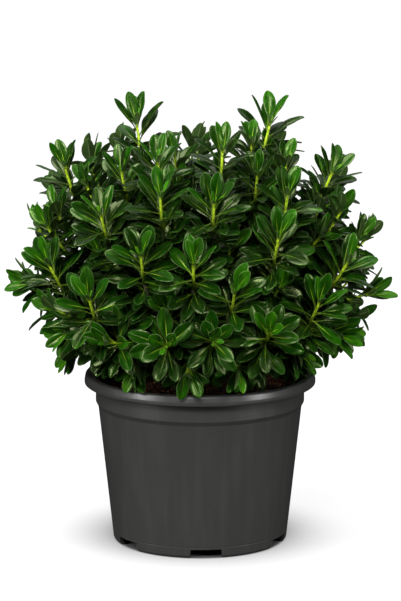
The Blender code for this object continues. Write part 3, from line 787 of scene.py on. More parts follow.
def planShoots():
    draw = random.Random(crown["seed"])
    leading, filling = [], []
    for across, rise, back, size, lean in leadingShoots:
        place = seenPlace(across * mm, rise * mm, back * mm)
        leading.append(makeShoot(place, size, leaf["leadingBuilt"], draw, lean))
    for across, rise, back, size in fillingShoots:
        place = seenPlace(across * mm, rise * mm, back * mm)
        filling.append(makeShoot(place, size, leaf["fillingBuilt"], draw))
    free = [underOutline(spiralPlace(index)) for index in range(crown["places"])]
    for _ in range(crown["hiddenShoots"]):
        taken = [shoot["place"] for shoot in leading + filling]
        place = max(free, key=lambda spot: min((spot - other).length for other in taken))
        filling.append(makeShoot(place, draw.uniform(0.94, 1.06), leaf["fillingBuilt"], draw))
    return leading, filling


def pairUp(shoots):
    left, pairs = list(shoots), []
    while len(left) > 1:
        first = min(left, key=lambda shoot: shoot["place"].z)
        left.remove(first)
        mate = min(left, key=lambda shoot: (shoot["place"] - first["place"]).length)
        left.remove(mate)
        pairs.append([first, mate])
    return pairs + [left] * len(left)


def nodePoints(name):
    places = np.array([vertex.co for vertex in frame["nodes"][name].data.vertices])
    return np.unique(np.round(places, 6), axis=0)


def ringMisfit(points, middle, radius):
    # how far the model's points are from a ring of that radius about the middle
    away = np.linalg.norm(points - np.array(middle), axis=1)
    near = points[np.abs(away - radius) < ringSlack]
    if len(near) < 3:
        return math.inf
    return np.linalg.norm(near.mean(0) - np.array(middle))


def leafyFoot(shoot):
    # where the lowest leaf stands on its stem
    return shoot["place"] - shoot["axis"] * crown["leafyDepth"] * shoot["size"]


def layFork(shoots, reach, share):
    axis = (shoots[0]["axis"] + shoots[1]["axis"]).normalized()
    foot = shoots[0]["foot"].lerp(shoots[1]["foot"], share) - axis * reach
    return foot, axis


def layStems(groups):
    # each node's stems along the model's own paths, and where each node's foot is
    feet = []
    for name, shoots in groups:
        if len(shoots) == 1:
            foot, axis = shoots[0]["foot"], shoots[0]["axis"]
            shoots[0]["stem"] = [foot, foot.lerp(shoots[0]["place"], 0.5), shoots[0]["place"]]
        else:
            points = nodePoints(name)
            tries = [layFork(shoots, reach, share)
                     for share, reach in product(crown["forkShares"], crown["forkReaches"])]
            radius = crown["stemRadii"][0]
            foot, axis = min(
                tries, key=lambda one: ringMisfit(points, one[0] + one[1] * gap, radius))
            neck = foot + axis * (gap + crown["forkNeck"])
            middle = foot + axis * (gap + crown["forkNeck"] / 2)
            aside = (shoots[1]["foot"] - middle).normalized()
            for shoot, start, lean in zip(shoots, (neck, middle), (axis, aside)):
                leafy = leafyFoot(shoot)
                span = (leafy - start).length
                leave, arrive = crown["forkLeans"]
                near = leafy - shoot["axis"] * span * arrive
                arm = bezier(start, start + lean * span * leave, near, leafy,
                             crown["forkSteps"])
                shoot["stem"] = arm + [leafy.lerp(shoot["place"], 0.5), shoot["place"]]
            shoots[0]["stem"].insert(0, foot)
        feet.append((foot, axis))
    return feet


# Leaves

leaf = {
    "perShoot": 12,
    "leadingBuilt": (0, 1, 3, 5, 7, 10),  # the ones that the model has too
    "fillingBuilt": (0, 1, 3, 5, 8),
    "length": 46 * mm,
    "missing": 0.25,  # share of the other leaves that a shoot has lost
    "shrink": 0.18,
    "ratio": 0.37,
    "pitchLow": 84,
    "pitchHigh": 16,
    "pitchPower": 1.1,
    "freeLow": 28,  # degrees kept free on each side of the front, by the lowest leaf
    "freeHigh": 100,  # and by the top one
    "archLow": 14,
    "archHigh": 6,
    "cup": 0.10,
    "hug": 0.6,  # how much a stalk turns up along the stem at its foot
    "hugLength": 0.05,
    "petiole": 0.13,  # share of the length
    "petioleHalf": 0.8 * mm,
    "bladeHalf": 0.30 * mm,
    "groove": 0.30 * mm,
    "keel": 0.45 * mm,
    "ribHalf": 0.75 * mm,
    "dome": 0.06,  # shares of its half width that the blade bows up and its margin rolls down
    "roll": 0.10,
    "waves": 15,  # radians of ripple along the blade
    "spare": 0.45 * mm,  # room kept free over a blade, and more of it under the blade
    "spareUnder": 0.3 * mm,
    "youth": (0.30, 0.38, 0.39, 0.08),  # lowest, more at the tip, less up the crown as painted shade, spread
    "budLeaves": ((0.46, 26), (0.38, 14), (0.29, 20), (0.21, 9), (0.14, 15), (0.10, 6)),
    "seed": 11,
}
leafRings = {
    "fine": (0, 0.07, 0.14, 0.23, 0.34, 0.46, 0.58, 0.70, 0.81, 0.90, 0.955, 0.987),
    "plain": (0, 0.10, 0.22, 0.40, 0.60, 0.79, 0.92, 0.98),
    "small": (0, 0.14, 0.38, 0.65, 0.87, 0.97),
}
leafColumns = {
    "fine": (0, 0.09, 0.50, 0.90, 1),
    "plain": (0, 0.14, 0.80, 1),
    "small": (0, 0.55, 1),
}


leafPaint = {
    "top": (  # from old to young
        (0.0, (0.002, 0.010, 0.001)), (0.25, (0.006, 0.057, 0.001)),
        (0.60, (0.029, 0.168, 0.002)), (1.0, (0.170, 0.400, 0.006)),
    ),
    "dull": (0.010, 0.034, 0.002),
    # colours of the painted shade and painted sheen fields along each blade
    "paintedShade": (0.003, 0.022, 0.001),
    "paintedSheen": (0.060, 0.200, 0.012),
    "vein": (0.10, 0.24, 0.02),
    "rib": (0.44, 0.68, 0.030),
    # partly the blade's own paler edge, partly a painted edge highlight
    "marginAndHighlight": (0.46, 0.58, 0.26),
    "below": ((0.034, 0.082, 0.014), (0.070, 0.130, 0.032)),
    "ribBelow": (0.34, 0.42, 0.18),
    "oldStalk": (0.050, 0.080, 0.010),
    "youngStalk": (0.50, 0.70, 0.030),
    "knot": (0.100, 0.190, 0.008),
    "shine": 0.36,
    "shineTint": (0.83, 1.0, 0.45, 1),
}


def leafMaterial():
    material, tree, shader = newMaterial("leafSkin")
    names = ("along", "across", "under", "youth", "stem", "tone")
    along, across, under, youth, stem, tone = [attribute(tree, name) for name in names]
    aside = maths(tree, "ABSOLUTE", across)
    place = objectPlace(tree)
    mottle = noiseValue(tree, place, 90, 3)
    fine = noiseValue(tree, place, 700, 2)

    # leaf age, with painted shade up the crown carried in the youth value, and lighter towards
    # the tip
    ageAndTopShade = scaled(tree, maths(tree, "SUBTRACT", mottle, 0.5), 0.30, youth)
    ageAndTopShade = maths(tree, "ADD", ageAndTopShade, scaled(tree, along, 0.10, -0.05))
    top = colorRamp(tree, ageAndTopShade, leafPaint["top"])
    top = mixColors(tree, times(tree, tone, 0.45), top, leafPaint["dull"])

    # painted shade and painted sheen: soft darker and lighter fields that run along each blade
    field = addNode(tree, "CombineXYZ", {
        0: times(tree, along, 2.4), 1: times(tree, across, 1.5),
        2: times(tree, tone, 40.0),
    }).outputs["Vector"]
    field = noiseValue(tree, field, 1.0, 2)
    paintedShadeShare = times(tree, smoothStep(tree, field, 0.52, 0.30), 0.75)
    top = mixColors(tree, paintedShadeShare, top, leafPaint["paintedShade"])
    paintedSheen = times(tree, smoothStep(tree, field, 0.54, 0.78), 0.55)
    top = mixColors(tree, paintedSheen, top, leafPaint["paintedSheen"])

    # fine side veins that leave the midrib and bend to the tip
    sweep = scaled(tree, along, 13.0, times(tree, aside, -1.9))
    veins = smoothStep(tree, maths(tree, "PINGPONG", sweep, 0.5), 0.10, 0.0)
    veins = times(tree, veins, smoothStep(tree, aside, 0.90, 0.60))
    top = mixColors(tree, times(tree, veins, 0.12), top, leafPaint["vein"])

    # midrib, bright at the foot and fading towards the tip
    width = scaled(tree, along, -0.13, 0.16)
    rib = smoothStep(tree, maths(tree, "DIVIDE", aside, width), 1.0, 0.45)
    ribTop = times(tree, rib, smoothStep(tree, along, 0.80, 0.18))
    fresh = smoothStep(tree, youth, 0.0, 0.30)
    ribTop = times(tree, ribTop, scaled(tree, fresh, 0.60, 0.30))
    top = mixColors(tree, ribTop, top, leafPaint["rib"])

    # pale margins: partly the blade's own paler edge, partly a painted edge highlight
    edge = smoothStep(tree, aside, 0.91, 0.98)
    edge = times(tree, edge, scaled(tree, fresh, 0.42, 0.06))
    edge = times(tree, edge, smoothStep(tree, mottle, 0.25, 0.55))
    top = mixColors(tree, edge, top, leafPaint["marginAndHighlight"])

    below = mixColors(tree, mottle, *leafPaint["below"])
    below = mixColors(tree, times(tree, rib, 0.7), below, leafPaint["ribBelow"])
    color = mixColors(tree, under, top, below)

    stalk = maths(tree, "MAXIMUM", smoothStep(tree, along, 0.28, 0.10), stem)
    stalkColor = mixColors(tree, smoothStep(tree, youth, 0.0, 0.75),
                           leafPaint["oldStalk"], leafPaint["youngStalk"])
    knots = smoothStep(tree, noiseValue(tree, place, 300, 2), 0.46, 0.60)
    stalkColor = mixColors(tree, times(tree, knots, 0.72), stalkColor, leafPaint["knot"])
    color = mixColors(tree, stalk, color, stalkColor)
    feed(tree, shader, {
        "Base Color": color,
        "Roughness": scaled(tree, under, 0.32, scaled(tree, fine, 0.10, 0.14)),
        "Specular IOR Level": leafPaint["shine"],
        "Specular Tint": leafPaint["shineTint"],
    })

    height = scaled(tree, veins, -0.35, times(tree, fine, 0.12))
    height = scaled(tree, mottle, 0.9, height)
    addBump(tree, shader, height, 0.35 * mm, 0.6)
    return material


def smooth(value, low, high):
    share = np.clip((value - low) / (high - low), 0, 1)
    return share * share * (3 - 2 * share)


def makeLeaf(root, axis, out, pitch, arch, length, **more):
    made = {
        "root": np.array(root), "axis": np.array(axis), "out": np.array(out),
        "pitch": math.radians(pitch), "arch": math.radians(arch), "length": length,
        "ratio": leaf["ratio"], "twist": 0.0, "sway": 0.0, "curl": 0.0, "fold": 0.16,
        "ripple": 0.0, "youth": 0.4, "tone": 0.0, "grid": "fine",
    }
    made.update(more)
    return made


def stack(leaves, key, axes=0):
    # one value of each leaf, with that many axes after the leaf's
    values = np.array([one[key] for one in leaves])
    return np.expand_dims(values, tuple(range(1, 1 + axes)))


def leanAxes(axis, out, lean):
    # across and face of a blade that leans out from its axis
    ahead = np.cos(lean) * axis + np.sin(lean) * out
    face = np.sin(lean) * axis - np.cos(lean) * out
    return np.cross(ahead, face), face


def plainFrames(leaves, stations):
    # centre, across and face of the model's own leaves, which are plain arcs
    s = np.asarray(stations)[None, :, None]
    axis, out = stack(leaves, "axis", 1), stack(leaves, "out", 1)
    pitch, arch, length = [stack(leaves, key, 2) for key in ("pitch", "arch", "length")]
    lean = pitch + arch * s
    reach = length * (np.cos(pitch) - np.cos(lean)) / arch
    rise = length * (np.sin(lean) - np.sin(pitch)) / arch
    centre = stack(leaves, "root", 1) + reach * out + rise * axis
    return centre, *leanAxes(axis, out, lean)


fineSteps = np.linspace(0, 1, 41)


def leafFrames(leaves, stations):
    # centre, across and face of every leaf at each station, as (leaf, station, 3):
    # the stalk leaves the stem steeply and bends out, and the tip may curl down
    s = fineSteps[None, :]
    keys = ("pitch", "arch", "curl", "length")
    pitch, arch, curl, length = [stack(leaves, key, 1) for key in keys]
    lean = pitch * (1 - leaf["hug"] * np.exp(-s / leaf["hugLength"])) + arch * s + curl * s**3
    step = length / (len(fineSteps) - 1)
    outward, upward = np.sin(lean) * step, np.cos(lean) * step
    reach = np.cumsum((outward[:, 1:] + outward[:, :-1]) / 2, axis=1)
    rise = np.cumsum((upward[:, 1:] + upward[:, :-1]) / 2, axis=1)

    def at(rows):
        return np.array([np.interp(stations, fineSteps, row) for row in rows])[..., None]

    nothing = np.zeros((len(leaves), 1))
    reach, rise = at(np.hstack([nothing, reach])), at(np.hstack([nothing, rise]))
    lean = at(lean)
    axis, out = stack(leaves, "axis", 1), stack(leaves, "out", 1)
    centre = stack(leaves, "root", 1) + reach * out + rise * axis
    across, face = leanAxes(axis, out, lean)
    s = np.asarray(stations)[None, :, None]
    twist = stack(leaves, "twist", 2) * smooth(s, 0.05, 1)
    turnedAcross = np.cos(twist) * across + np.sin(twist) * face
    face = np.cos(twist) * face - np.sin(twist) * across
    sway = stack(leaves, "sway", 2) * length[..., None] * np.sin(np.pi * s)
    return centre + turnedAcross * sway, turnedAcross, face


def halfWidths(leaves, stations):
    # slender stalk, long wedge foot, widest near two thirds, round tip
    s = np.asarray(stations)[None, :]
    t = np.clip((s - leaf["petiole"]) / (1 - leaf["petiole"]), 0, 1)
    shape = np.sin(np.pi * t**1.45) ** (0.98 - 0.42 * t)
    widest = stack(leaves, "length", 1) * stack(leaves, "ratio", 1) / 2
    stalk = np.minimum(leaf["petioleHalf"], widest * 0.3) * (1.15 - smooth(s, 0, 0.2) * 0.3)
    return np.sqrt((widest * shape) ** 2 + (stalk * (1 - smooth(s, 0.9, 1))) ** 2)


def leafSkins(leaves, grid):
    # points, faces and shader values of many leaves of one grid
    stations = np.array(leafRings[grid])
    half = np.array(leafColumns[grid])
    columns = np.concatenate([-half[:0:-1], half])
    u = np.concatenate([columns, columns[-2:0:-1]])
    side = np.concatenate([np.ones(len(columns)), -np.ones(len(columns) - 2)])
    side[[0, len(columns) - 1]] = 0
    count, rings, around = len(leaves), len(stations), len(u)

    centre, across, face = leafFrames(leaves, stations)
    width = halfWidths(leaves, stations)[:, :, None]
    length = stack(leaves, "length", 2)
    s = stations[None, :, None]
    aside = np.abs(u)[None, None, :]
    blade = smooth(s, leaf["petiole"] * 0.8, leaf["petiole"] + 0.16)
    fold = stack(leaves, "fold", 2)
    roll = leaf["roll"] * smooth(aside, 0.75, 1)
    lift = width * (fold * aside + leaf["dome"] * aside**2 - roll) * blade
    ripple = stack(leaves, "ripple", 2)
    wavy = np.sin(s * leaf["waves"] + ripple * 40 + np.sign(u) * 1.2)
    lift = lift + length * ripple * wavy * aside**2 * blade
    roundness = np.sqrt(np.maximum(1 - aside**2, 0))
    stalkHalf = np.minimum(leaf["petioleHalf"], width) * roundness
    bladeHalf = np.minimum(leaf["bladeHalf"], width * 0.25) * (1 - aside**8)
    thick = stalkHalf * (1 - blade) + bladeHalf * blade
    rib = np.exp(-((aside * width / leaf["ribHalf"]) ** 2)) * blade
    groove = leaf["groove"] * rib * (1 - smooth(s, 0.5, 0.95))
    keel = leaf["keel"] * rib * (1 - smooth(s, 0.3, 1))
    level = lift + side * thick - np.where(side > 0, groove, 0) - np.where(side < 0, keel, 0)
    points = centre[:, :, None, :] + across[:, :, None, :] * (width * u)[..., None]
    points = points + face[:, :, None, :] * level[..., None]

    tipCentre, _, _ = leafFrames(leaves, [1.0])
    points = np.concatenate([points.reshape(count, rings * around, 3), tipCentre], axis=1)
    perLeaf = rings * around + 1

    quads = []
    for ring in range(rings - 1):
        quads += ringFaces(ring * around, (ring + 1) * around, around)
    tips = poleFaces((rings - 1) * around, rings * around, around)
    cap = [tuple(reversed(range(around)))]
    faces = []
    for index in range(count):
        first = index * perLeaf
        for group in (quads, tips, cap):
            faces += (np.array(group) + first).tolist()

    under = np.where(side > 0, 0.0, np.where(side < 0, 1.0, 0.35))
    values = {
        "along": np.tile(np.append(np.repeat(stations, around), 1.0), count),
        "across": np.tile(np.append(np.tile(u, rings), 0.0), count),
        "under": np.tile(np.append(np.tile(under, rings), 0.3), count),
        "youth": np.repeat(stack(leaves, "youth"), perLeaf),
        "tone": np.repeat(stack(leaves, "tone"), perLeaf),
        "stem": np.zeros(count * perLeaf),
    }
    return points.reshape(-1, 3), faces, values


def coarseBodies(leaves):
    # a few-sided body of each leaf beyond its stalk, to keep it clear of the others
    stations = (0.30, 0.55, 0.78, 0.95)
    centre, across, face = leafFrames(leaves, stations)
    width = halfWidths(leaves, stations)[..., None]
    edge = centre + face * width * 0.12
    above, below = leaf["spare"], leaf["spare"] + leaf["spareUnder"]
    corners = [edge - across * width, centre + face * above,
               edge + across * width, centre - face * below]
    return np.stack(corners, axis=2).reshape(len(leaves), len(stations) * 4, 3)


coarseFaces = [(0, 3, 2, 1), *ringFaces(0, 4, 4), *ringFaces(4, 8, 4), *ringFaces(8, 12, 4),
               (12, 13, 14, 15)]


class Crowd:
    # everything placed so far, to keep new leaves clear of it
    most = 6000

    def __init__(self):
        self.lows = np.zeros((self.most, 3))
        self.highs = np.zeros((self.most, 3))
        self.trees = []

    def add(self, points, faces):
        points = np.asarray(points, float)
        self.lows[len(self.trees)] = points.min(0)
        self.highs[len(self.trees)] = points.max(0)
        self.trees.append(BVHTree.FromPolygons(points.tolist(), faces))

    def isClear(self, points, faces):
        count = len(self.trees)
        low, high = points.min(0), points.max(0)
        near = np.all((self.lows[:count] < high) & (self.highs[:count] > low), axis=1)
        nearby = np.flatnonzero(near)
        if len(nearby) == 0:
            return True
        tree = BVHTree.FromPolygons(points.tolist(), faces)
        return not any(tree.overlap(self.trees[index]) for index in nearby)


def awayFrom(axis, turn):
    # the direction square to an axis at that turn about it
    first = axis.orthogonal().normalized()
    angle = math.radians(turn)
    return math.cos(angle) * first + math.sin(angle) * axis.cross(first)


def leafTurn(shoot, rank, share):
    # few leaves stand in front of the stem, and none of the upper ones
    axis = shoot["axis"]
    first = axis.orthogonal().normalized()
    second = axis.cross(first)
    front = shoot["front"]
    toward = math.degrees(math.atan2(front.dot(second), front.dot(first)))
    aside = (shoot["turn"] + rank * goldenTurn - toward + 180) % 360 - 180
    free = leaf["freeLow"] + (leaf["freeHigh"] - leaf["freeLow"]) * share
    aside = math.copysign(free + (180 - free) * abs(aside) / 180, aside)
    return toward + aside


def whorlLeaf(shoot, rank, bend, draw):
    share = rank / (leaf["perShoot"] - 1)
    axis = shoot["axis"]
    out = awayFrom(axis, leafTurn(shoot, rank, share) + bend[2])
    steep, flat = leaf["pitchHigh"], leaf["pitchLow"]
    pitch = steep + (flat - steep) * (1 - share) ** leaf["pitchPower"]
    arch = leaf["archLow"] + (leaf["archHigh"] - leaf["archLow"]) * share
    length = leaf["length"] * shoot["size"] * (1 - leaf["shrink"] * share**4) * bend[0]
    root = shoot["place"] - axis * crown["leafyDepth"] * shoot["size"] * (1 - share)
    height = (shoot["place"].z - pot["height"]) / (crown["up"] * 1.7)
    lowest, tipMore, paintedShadeUp, spread = leaf["youth"]
    # darker up the crown: painted shade against the lamps' stronger light on the top leaves
    youth = lowest + tipMore * share**3 - paintedShadeUp * height + draw.gauss(0, spread)
    return makeLeaf(root, axis, out, pitch + bend[1], arch, length, youth=youth)


def loosen(one, draw):
    # the small differences from one leaf to the next
    one["twist"] = draw.gauss(0, 0.20)
    one["sway"] = draw.gauss(0, 0.014)
    one["curl"] = draw.gauss(0.06, 0.10)
    one["fold"] = draw.uniform(0.12, 0.38)
    one["ratio"] = leaf["ratio"] * draw.uniform(0.90, 1.06)
    one["ripple"] = draw.uniform(0.002, 0.010)
    one["tone"] = draw.random()
    return one


bendWays = list(product((1.0, 0.92, 0.84, 0.74, 0.64), (0, -8, 8, -16, -24, 16, -34, -44),
                        (0, -9, 9, -18, 18, -28, 28)))


def modelBend(shoot, rank, points, draw):
    # how the model's own leaf was bent: the way whose tip and sides are where its points are
    tries = [whorlLeaf(shoot, rank, bend, draw) for bend in bendWays]
    centre, across, face = plainFrames(tries, [0.66, 1.0])
    widest = stack(tries, "length", 1) * leaf["ratio"] / 2
    tips = centre[:, 1] + face[:, 1] * leaf["cup"] * 0.3 * widest
    sides = centre[:, 0] + face[:, 0] * leaf["cup"] * widest + across[:, 0] * widest
    miss = np.zeros(len(tries))
    for spots in (tips, sides):
        miss += np.linalg.norm(spots[:, None] - points[None], axis=2).min(1)
    best = int(miss.argmin())
    return (bendWays[best], miss[best])


def planCrown():
    # the shoots in their nodes, their stems, and the branchlet that carries each node
    leading, filling = planShoots()
    groups = [(f"leafy_shoot_{i + 1:02d}", [shoot]) for i, shoot in enumerate(leading)]
    groups += [(f"leafy_fork_{i + 1:02d}", pair) for i, pair in enumerate(pairUp(filling))]
    branchlets = branchletPaths(layStems(groups))
    for (_, shoots), branchlet in zip(groups, branchlets):
        for shoot in shoots:
            leafy = leafyFoot(shoot)
            bare = [spot for spot in shoot["stem"] if (spot - leafy).dot(shoot["axis"]) < -mm]
            shoot["way"] = [leafy, *reversed(bare)]
        shoots[0]["way"] += list(reversed(branchlet))
    print("shoots laid out:", len(leading), "+", len(filling))
    return groups, branchlets


def buildCrown(groups, woodSkins):
    material = leafMaterial()
    draw = random.Random(leaf["seed"])
    crowd = Crowd()
    for skin in woodSkins:
        crowd.add(*skin)
    everyShoot = sorted((shoot for _, shoots in groups for shoot in shoots),
                        key=lambda shoot: not shoot["leading"])
    for shoot in everyShoot:
        shoot["leaves"] = []
        radii = np.linspace(*crown["stemRadii"], len(shoot["stem"])).tolist()
        tip = shoot["place"] + shoot["axis"] * crown["bud"]
        shoot["skin"] = tube(shoot["stem"], radii, 8, tip=tip)
        crowd.add(*shoot["skin"])
    growModelLeaves(groups, crowd, draw)
    growMore(everyShoot, crowd, draw)
    growOlder(everyShoot, crowd, draw)
    total = 0
    for name, shoots in groups:
        total += buildLeafyPiece(name, shoots, material)
    print("leafy pieces:", len(groups), "leaves:", total)


def growModelLeaves(groups, crowd, draw):
    # the leaves that the model has too, bent as they are there
    lost = 0
    for name, shoots in groups:
        points = nodePoints(name)
        for shoot in shoots:
            for rank in shoot["built"]:
                bend, miss = modelBend(shoot, rank, points, random.Random(rank))
                if miss > matchLimit:
                    lost += 1
                one = loosen(whorlLeaf(shoot, rank, bend, draw), draw)
                shoot["leaves"].append(one)
                crowd.add(coarseBodies([one])[0], coarseFaces)
    print("leaves of the model not found:", lost)


moreWays = sorted(
    product((1.0, 0.88, 0.76), (0, 7, -7, 14, -14, 22, -22, 32), (0, 10, -10, 20, -20, 32, -32)),
    key=lambda way: (1 - way[0]) * 90 + abs(way[1]) * 0.6 + abs(way[2]) * 0.5)


def growFirstClear(shoot, tries, crowd, draw):
    for one, body in zip(tries, coarseBodies(tries)):
        if crowd.isClear(body, coarseFaces):
            shoot["leaves"].append(loosen(one, draw))
            crowd.add(body, coarseFaces)
            return True
    return False


def growMore(shoots, crowd, draw):
    # the leaves that the model leaves out, each bent clear of what is there
    grown = []
    for shoot in shoots:
        for rank in range(leaf["perShoot"]):
            if rank not in shoot["built"] and draw.random() > leaf["missing"]:
                tries = [whorlLeaf(shoot, rank, bend, draw) for bend in moreWays]
                grown.append(growFirstClear(shoot, tries, crowd, draw))
    print("leaves added to the whorls:", sum(grown), "no room:", len(grown) - sum(grown))


older = {
    "highFrom": 400 * mm,  # the sky shows between the shoots above this height
    "wideFrom": 135 * mm,  # and further out than this, so there they are denser
    "denseStep": 3.0 * mm,
    "denseMost": 42,
    "step": 4.2 * mm,  # between two leaves along the stem
    "firstStep": 0.6,  # share of a step down to the first one
    "most": 32,  # on one shoot's way down
    "outer": 5,  # of them, the ones near the light
    "pitches": (62, 80, 48, 98, 115),
    "highPitches": (46, 58, 34, 72, 92),  # steeper, so their faces show against the sky
    "turns": (0, 25, -25, 55, -55, 90, -90, 140),
    "lengths": (46 * mm, 40 * mm, 33 * mm),
    "arch": 16,
    "youth": (-0.12, 0.14),
    "rimHeight": 217 * mm,  # none hangs lower than this over the pot's rim
    "rimReach": (114 * mm, 152 * mm),
}


def alongWay(way, step):
    # places along a line of points, each with the direction back up it
    places, left = [], step * older["firstStep"]
    for start, end in zip(way, way[1:]):
        span = (end - start).length
        while left < span:
            places.append((start.lerp(end, left / span), (start - end).normalized()))
            left += step
        left -= span
    return places


def hangsOver(place, along, out, pitch, length):
    angle = math.radians(pitch)
    tip = place + length * (math.cos(angle) * along + math.sin(angle) * out)
    inner, outer = older["rimReach"]
    return tip.z < older["rimHeight"] and inner < math.hypot(tip.x, tip.y) < outer


def growOlder(shoots, crowd, draw):
    # the older, darker leaves lower on each stem and branchlet, that fill the crown
    grown = []
    for shoot in shoots:
        isHigh = shoot["place"].z > older["highFrom"]
        isDense = isHigh or abs(shoot["place"].x) > older["wideFrom"]
        pitches = older["highPitches" if isHigh else "pitches"]
        step = older["denseStep"] if isDense else older["step"]
        most = older["denseMost"] if isDense else older["most"]
        for index, (place, along) in enumerate(alongWay(shoot["way"], step)[:most]):
            tries = []
            for length, pitch, turn in product(older["lengths"], pitches, older["turns"]):
                out = awayFrom(along, shoot["turn"] - (index + 1) * goldenTurn + turn)
                if hangsOver(place, along, out, pitch, length):
                    continue
                grid = "plain" if index < older["outer"] else "small"
                tries.append(makeLeaf(place, along, out, pitch, older["arch"], length, grid=grid,
                                      youth=draw.uniform(*older["youth"])))
            grown.append(bool(tries) and growFirstClear(shoot, tries, crowd, draw))
    print("older leaves:", sum(grown), "no room:", len(grown) - sum(grown))


def budLeaves(shoot, draw):
    made = []
    axis = shoot["axis"]
    for index, (share, pitch) in enumerate(leaf["budLeaves"]):
        out = awayFrom(axis, shoot["turn"] + (leaf["perShoot"] + index) * goldenTurn)
        root = shoot["place"] + axis * 0.5 * mm * index + out * 0.6 * mm
        length = leaf["length"] * share * shoot["size"] * draw.uniform(0.85, 1.15)
        made.append(makeLeaf(root, axis, out, pitch, 14, length, grid="small",
                             ratio=0.30, fold=0.4, youth=draw.uniform(0.52, 0.78)))
    return made


def buildLeafyPiece(name, shoots, material):
    draw = random.Random(name)
    leaves = []
    for shoot in shoots:
        leaves += shoot["leaves"] + budLeaves(shoot, draw)
    stems, faces = joined(shoot["skin"] for shoot in shoots)
    first = len(stems)
    fills = {"along": 0.5, "across": 0, "under": 0, "tone": 0.5, "stem": 1}
    values = {key: [np.full(first, fill)] for key, fill in fills.items()}
    below = [(shoot["place"] - point).length for shoot in shoots for point in shoot["skin"][0]]
    values["youth"] = [1 - np.array(below) / crown["shootLength"]]
    points = [np.array(stems)]
    for grid in leafRings:
        some = [one for one in leaves if one["grid"] == grid]
        if not some:
            continue
        morePoints, moreFaces, moreValues = leafSkins(some, grid)
        points.append(morePoints)
        faces += [[first + i for i in face] for face in moreFaces]
        for key, numbers in moreValues.items():
            values[key].append(numbers)
        first += len(morePoints)
    values = {key: np.concatenate(parts) for key, parts in values.items()}
    greenName = name.replace("leafy", "green")
    piece = makePiece(greenName, np.concatenate(points), faces, material, values)
    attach(piece, "root")
    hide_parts(name)
    return len(leaves)


# Wood

wood = {
    "trunkFoot": 152 * mm,
    "trunkTop": 226 * mm,
    "trunkRadii": (9.5 * mm, 8.5 * mm),
    "limbPivot": 232 * mm,
    "limbStart": (3 * mm, 14 * mm),  # out from the trunk's axis and down from its top
    "limbLean": (0.7, 1.1),  # out and up, the way that a limb starts
    "limbSwing": 24,  # millimetres along that way
    "limbRise": 0.35,  # how much it turns up at its end
    "limbEase": 0.4,
    "limbSteps": 12,
    "limbRadii": (5.2 * mm, 2.9 * mm),
    "limbRings": ((7, 6, 0.60, 10), (5, 48, 0.56, 40), (1, 88, 0.52, 0)),
    "branchletRadii": (2.4 * mm, 2.2 * mm),
    "modelRadius": 2.15 * mm,  # of the model's own branchlet, halfway
    "branchletJoints": (0.35, 0.68, 0.97),
    "branchletSpan": 45 * mm,
    "branchletTurn": 0.45,  # share of the way from the limb's direction to its own
    "branchletLeans": (0.35, 0.4),
    "turnCost": 0.035,  # metres of span that a turn by one radian is worth
    "voxel": 1.5 * mm,
    "easeShare": 0.5,
    "easeRounds": 2,
    "keep": 0.45,  # share of the fused skin's faces that stays
    "colors": (
        (0.30, (0.024, 0.021, 0.010)),
        (0.55, (0.062, 0.055, 0.028)),
        (0.75, (0.130, 0.115, 0.070)),
    ),
    "greenColor": (0.045, 0.070, 0.018),
}


def barkMaterial():
    material, tree, shader = newMaterial("bark")
    place = objectPlace(tree)
    long = noiseValue(tree, stretched(tree, place, (300, 300, 70)), 1.0, 5)
    cloud = noiseValue(tree, place, 45, 3)
    color = colorRamp(tree, long, wood["colors"])
    color = mixColors(tree, smoothStep(tree, cloud, 0.40, 0.60), color, wood["greenColor"])
    feed(tree, shader, {"Base Color": color, "Roughness": scaled(tree, cloud, 0.2, 0.7)})
    addBump(tree, shader, long, 0.8 * mm)
    return material


def limbPaths(steps):
    paths = []
    for count, lift, share, turn in wood["limbRings"]:
        for index in range(count):
            azimuth = turn + 360 * index / count
            rise = math.radians(lift)
            heading = polar(azimuth, math.cos(rise), math.sin(rise))
            middle = Vector((0, 0, wood["limbPivot"]))
            reach = crown["reach"]
            while crownExcess(middle + reach * heading) > 0:
                reach -= 2 * mm
            end = middle + share * reach * heading
            aside, down = wood["limbStart"]
            start = Vector((0, 0, wood["trunkTop"] - down)) + polar(azimuth, aside, 0)
            lean = start + polar(azimuth, *wood["limbLean"]) * wood["limbSwing"] * mm
            last = (heading + wood["limbRise"] * up).normalized()
            near = end - last * share * reach * wood["limbEase"]
            paths.append(bezier(start, lean, near, end, steps))
    return paths


def branchletPath(start, along, foot, axis, steps):
    span = (foot - start).length
    lean = along.lerp((foot - start).normalized(), wood["branchletTurn"])
    leave, arrive = wood["branchletLeans"]
    return bezier(start, start + lean * span * leave, foot - axis * span * arrive, foot, steps)


def branchletPaths(feet):
    # each from the limb where the model's own branchlet starts
    points = nodePoints("woody_stems")
    joints, used = [], []
    for limb in limbPaths(4):
        for low, high in list(zip(limb, limb[1:]))[1:]:
            along = (high - low).normalized()
            joints += [(low.lerp(high, share), along) for share in wood["branchletJoints"]]
    paths, unsure = [], 0
    for foot, axis in feet:

        def misfit(joint):
            middle = branchletPath(*joint, foot, axis, 2)[1]
            return ringMisfit(points, middle, wood["modelRadius"])

        def detour(joint):
            start, along = joint
            back = foot - axis * wood["branchletSpan"] - start
            return back.length + wood["turnCost"] * along.angle(foot - start)

        free = [joint for joint in joints if joint not in used]
        joint = min(free, key=misfit)
        if misfit(joint) > matchLimit:
            unsure += 1
            joint = min(free, key=detour)
        used.append(joint)
        paths.append(branchletPath(*joint, foot, axis, 6))
    print("branchlets:", len(paths), "placed by nearness:", unsure)
    return paths


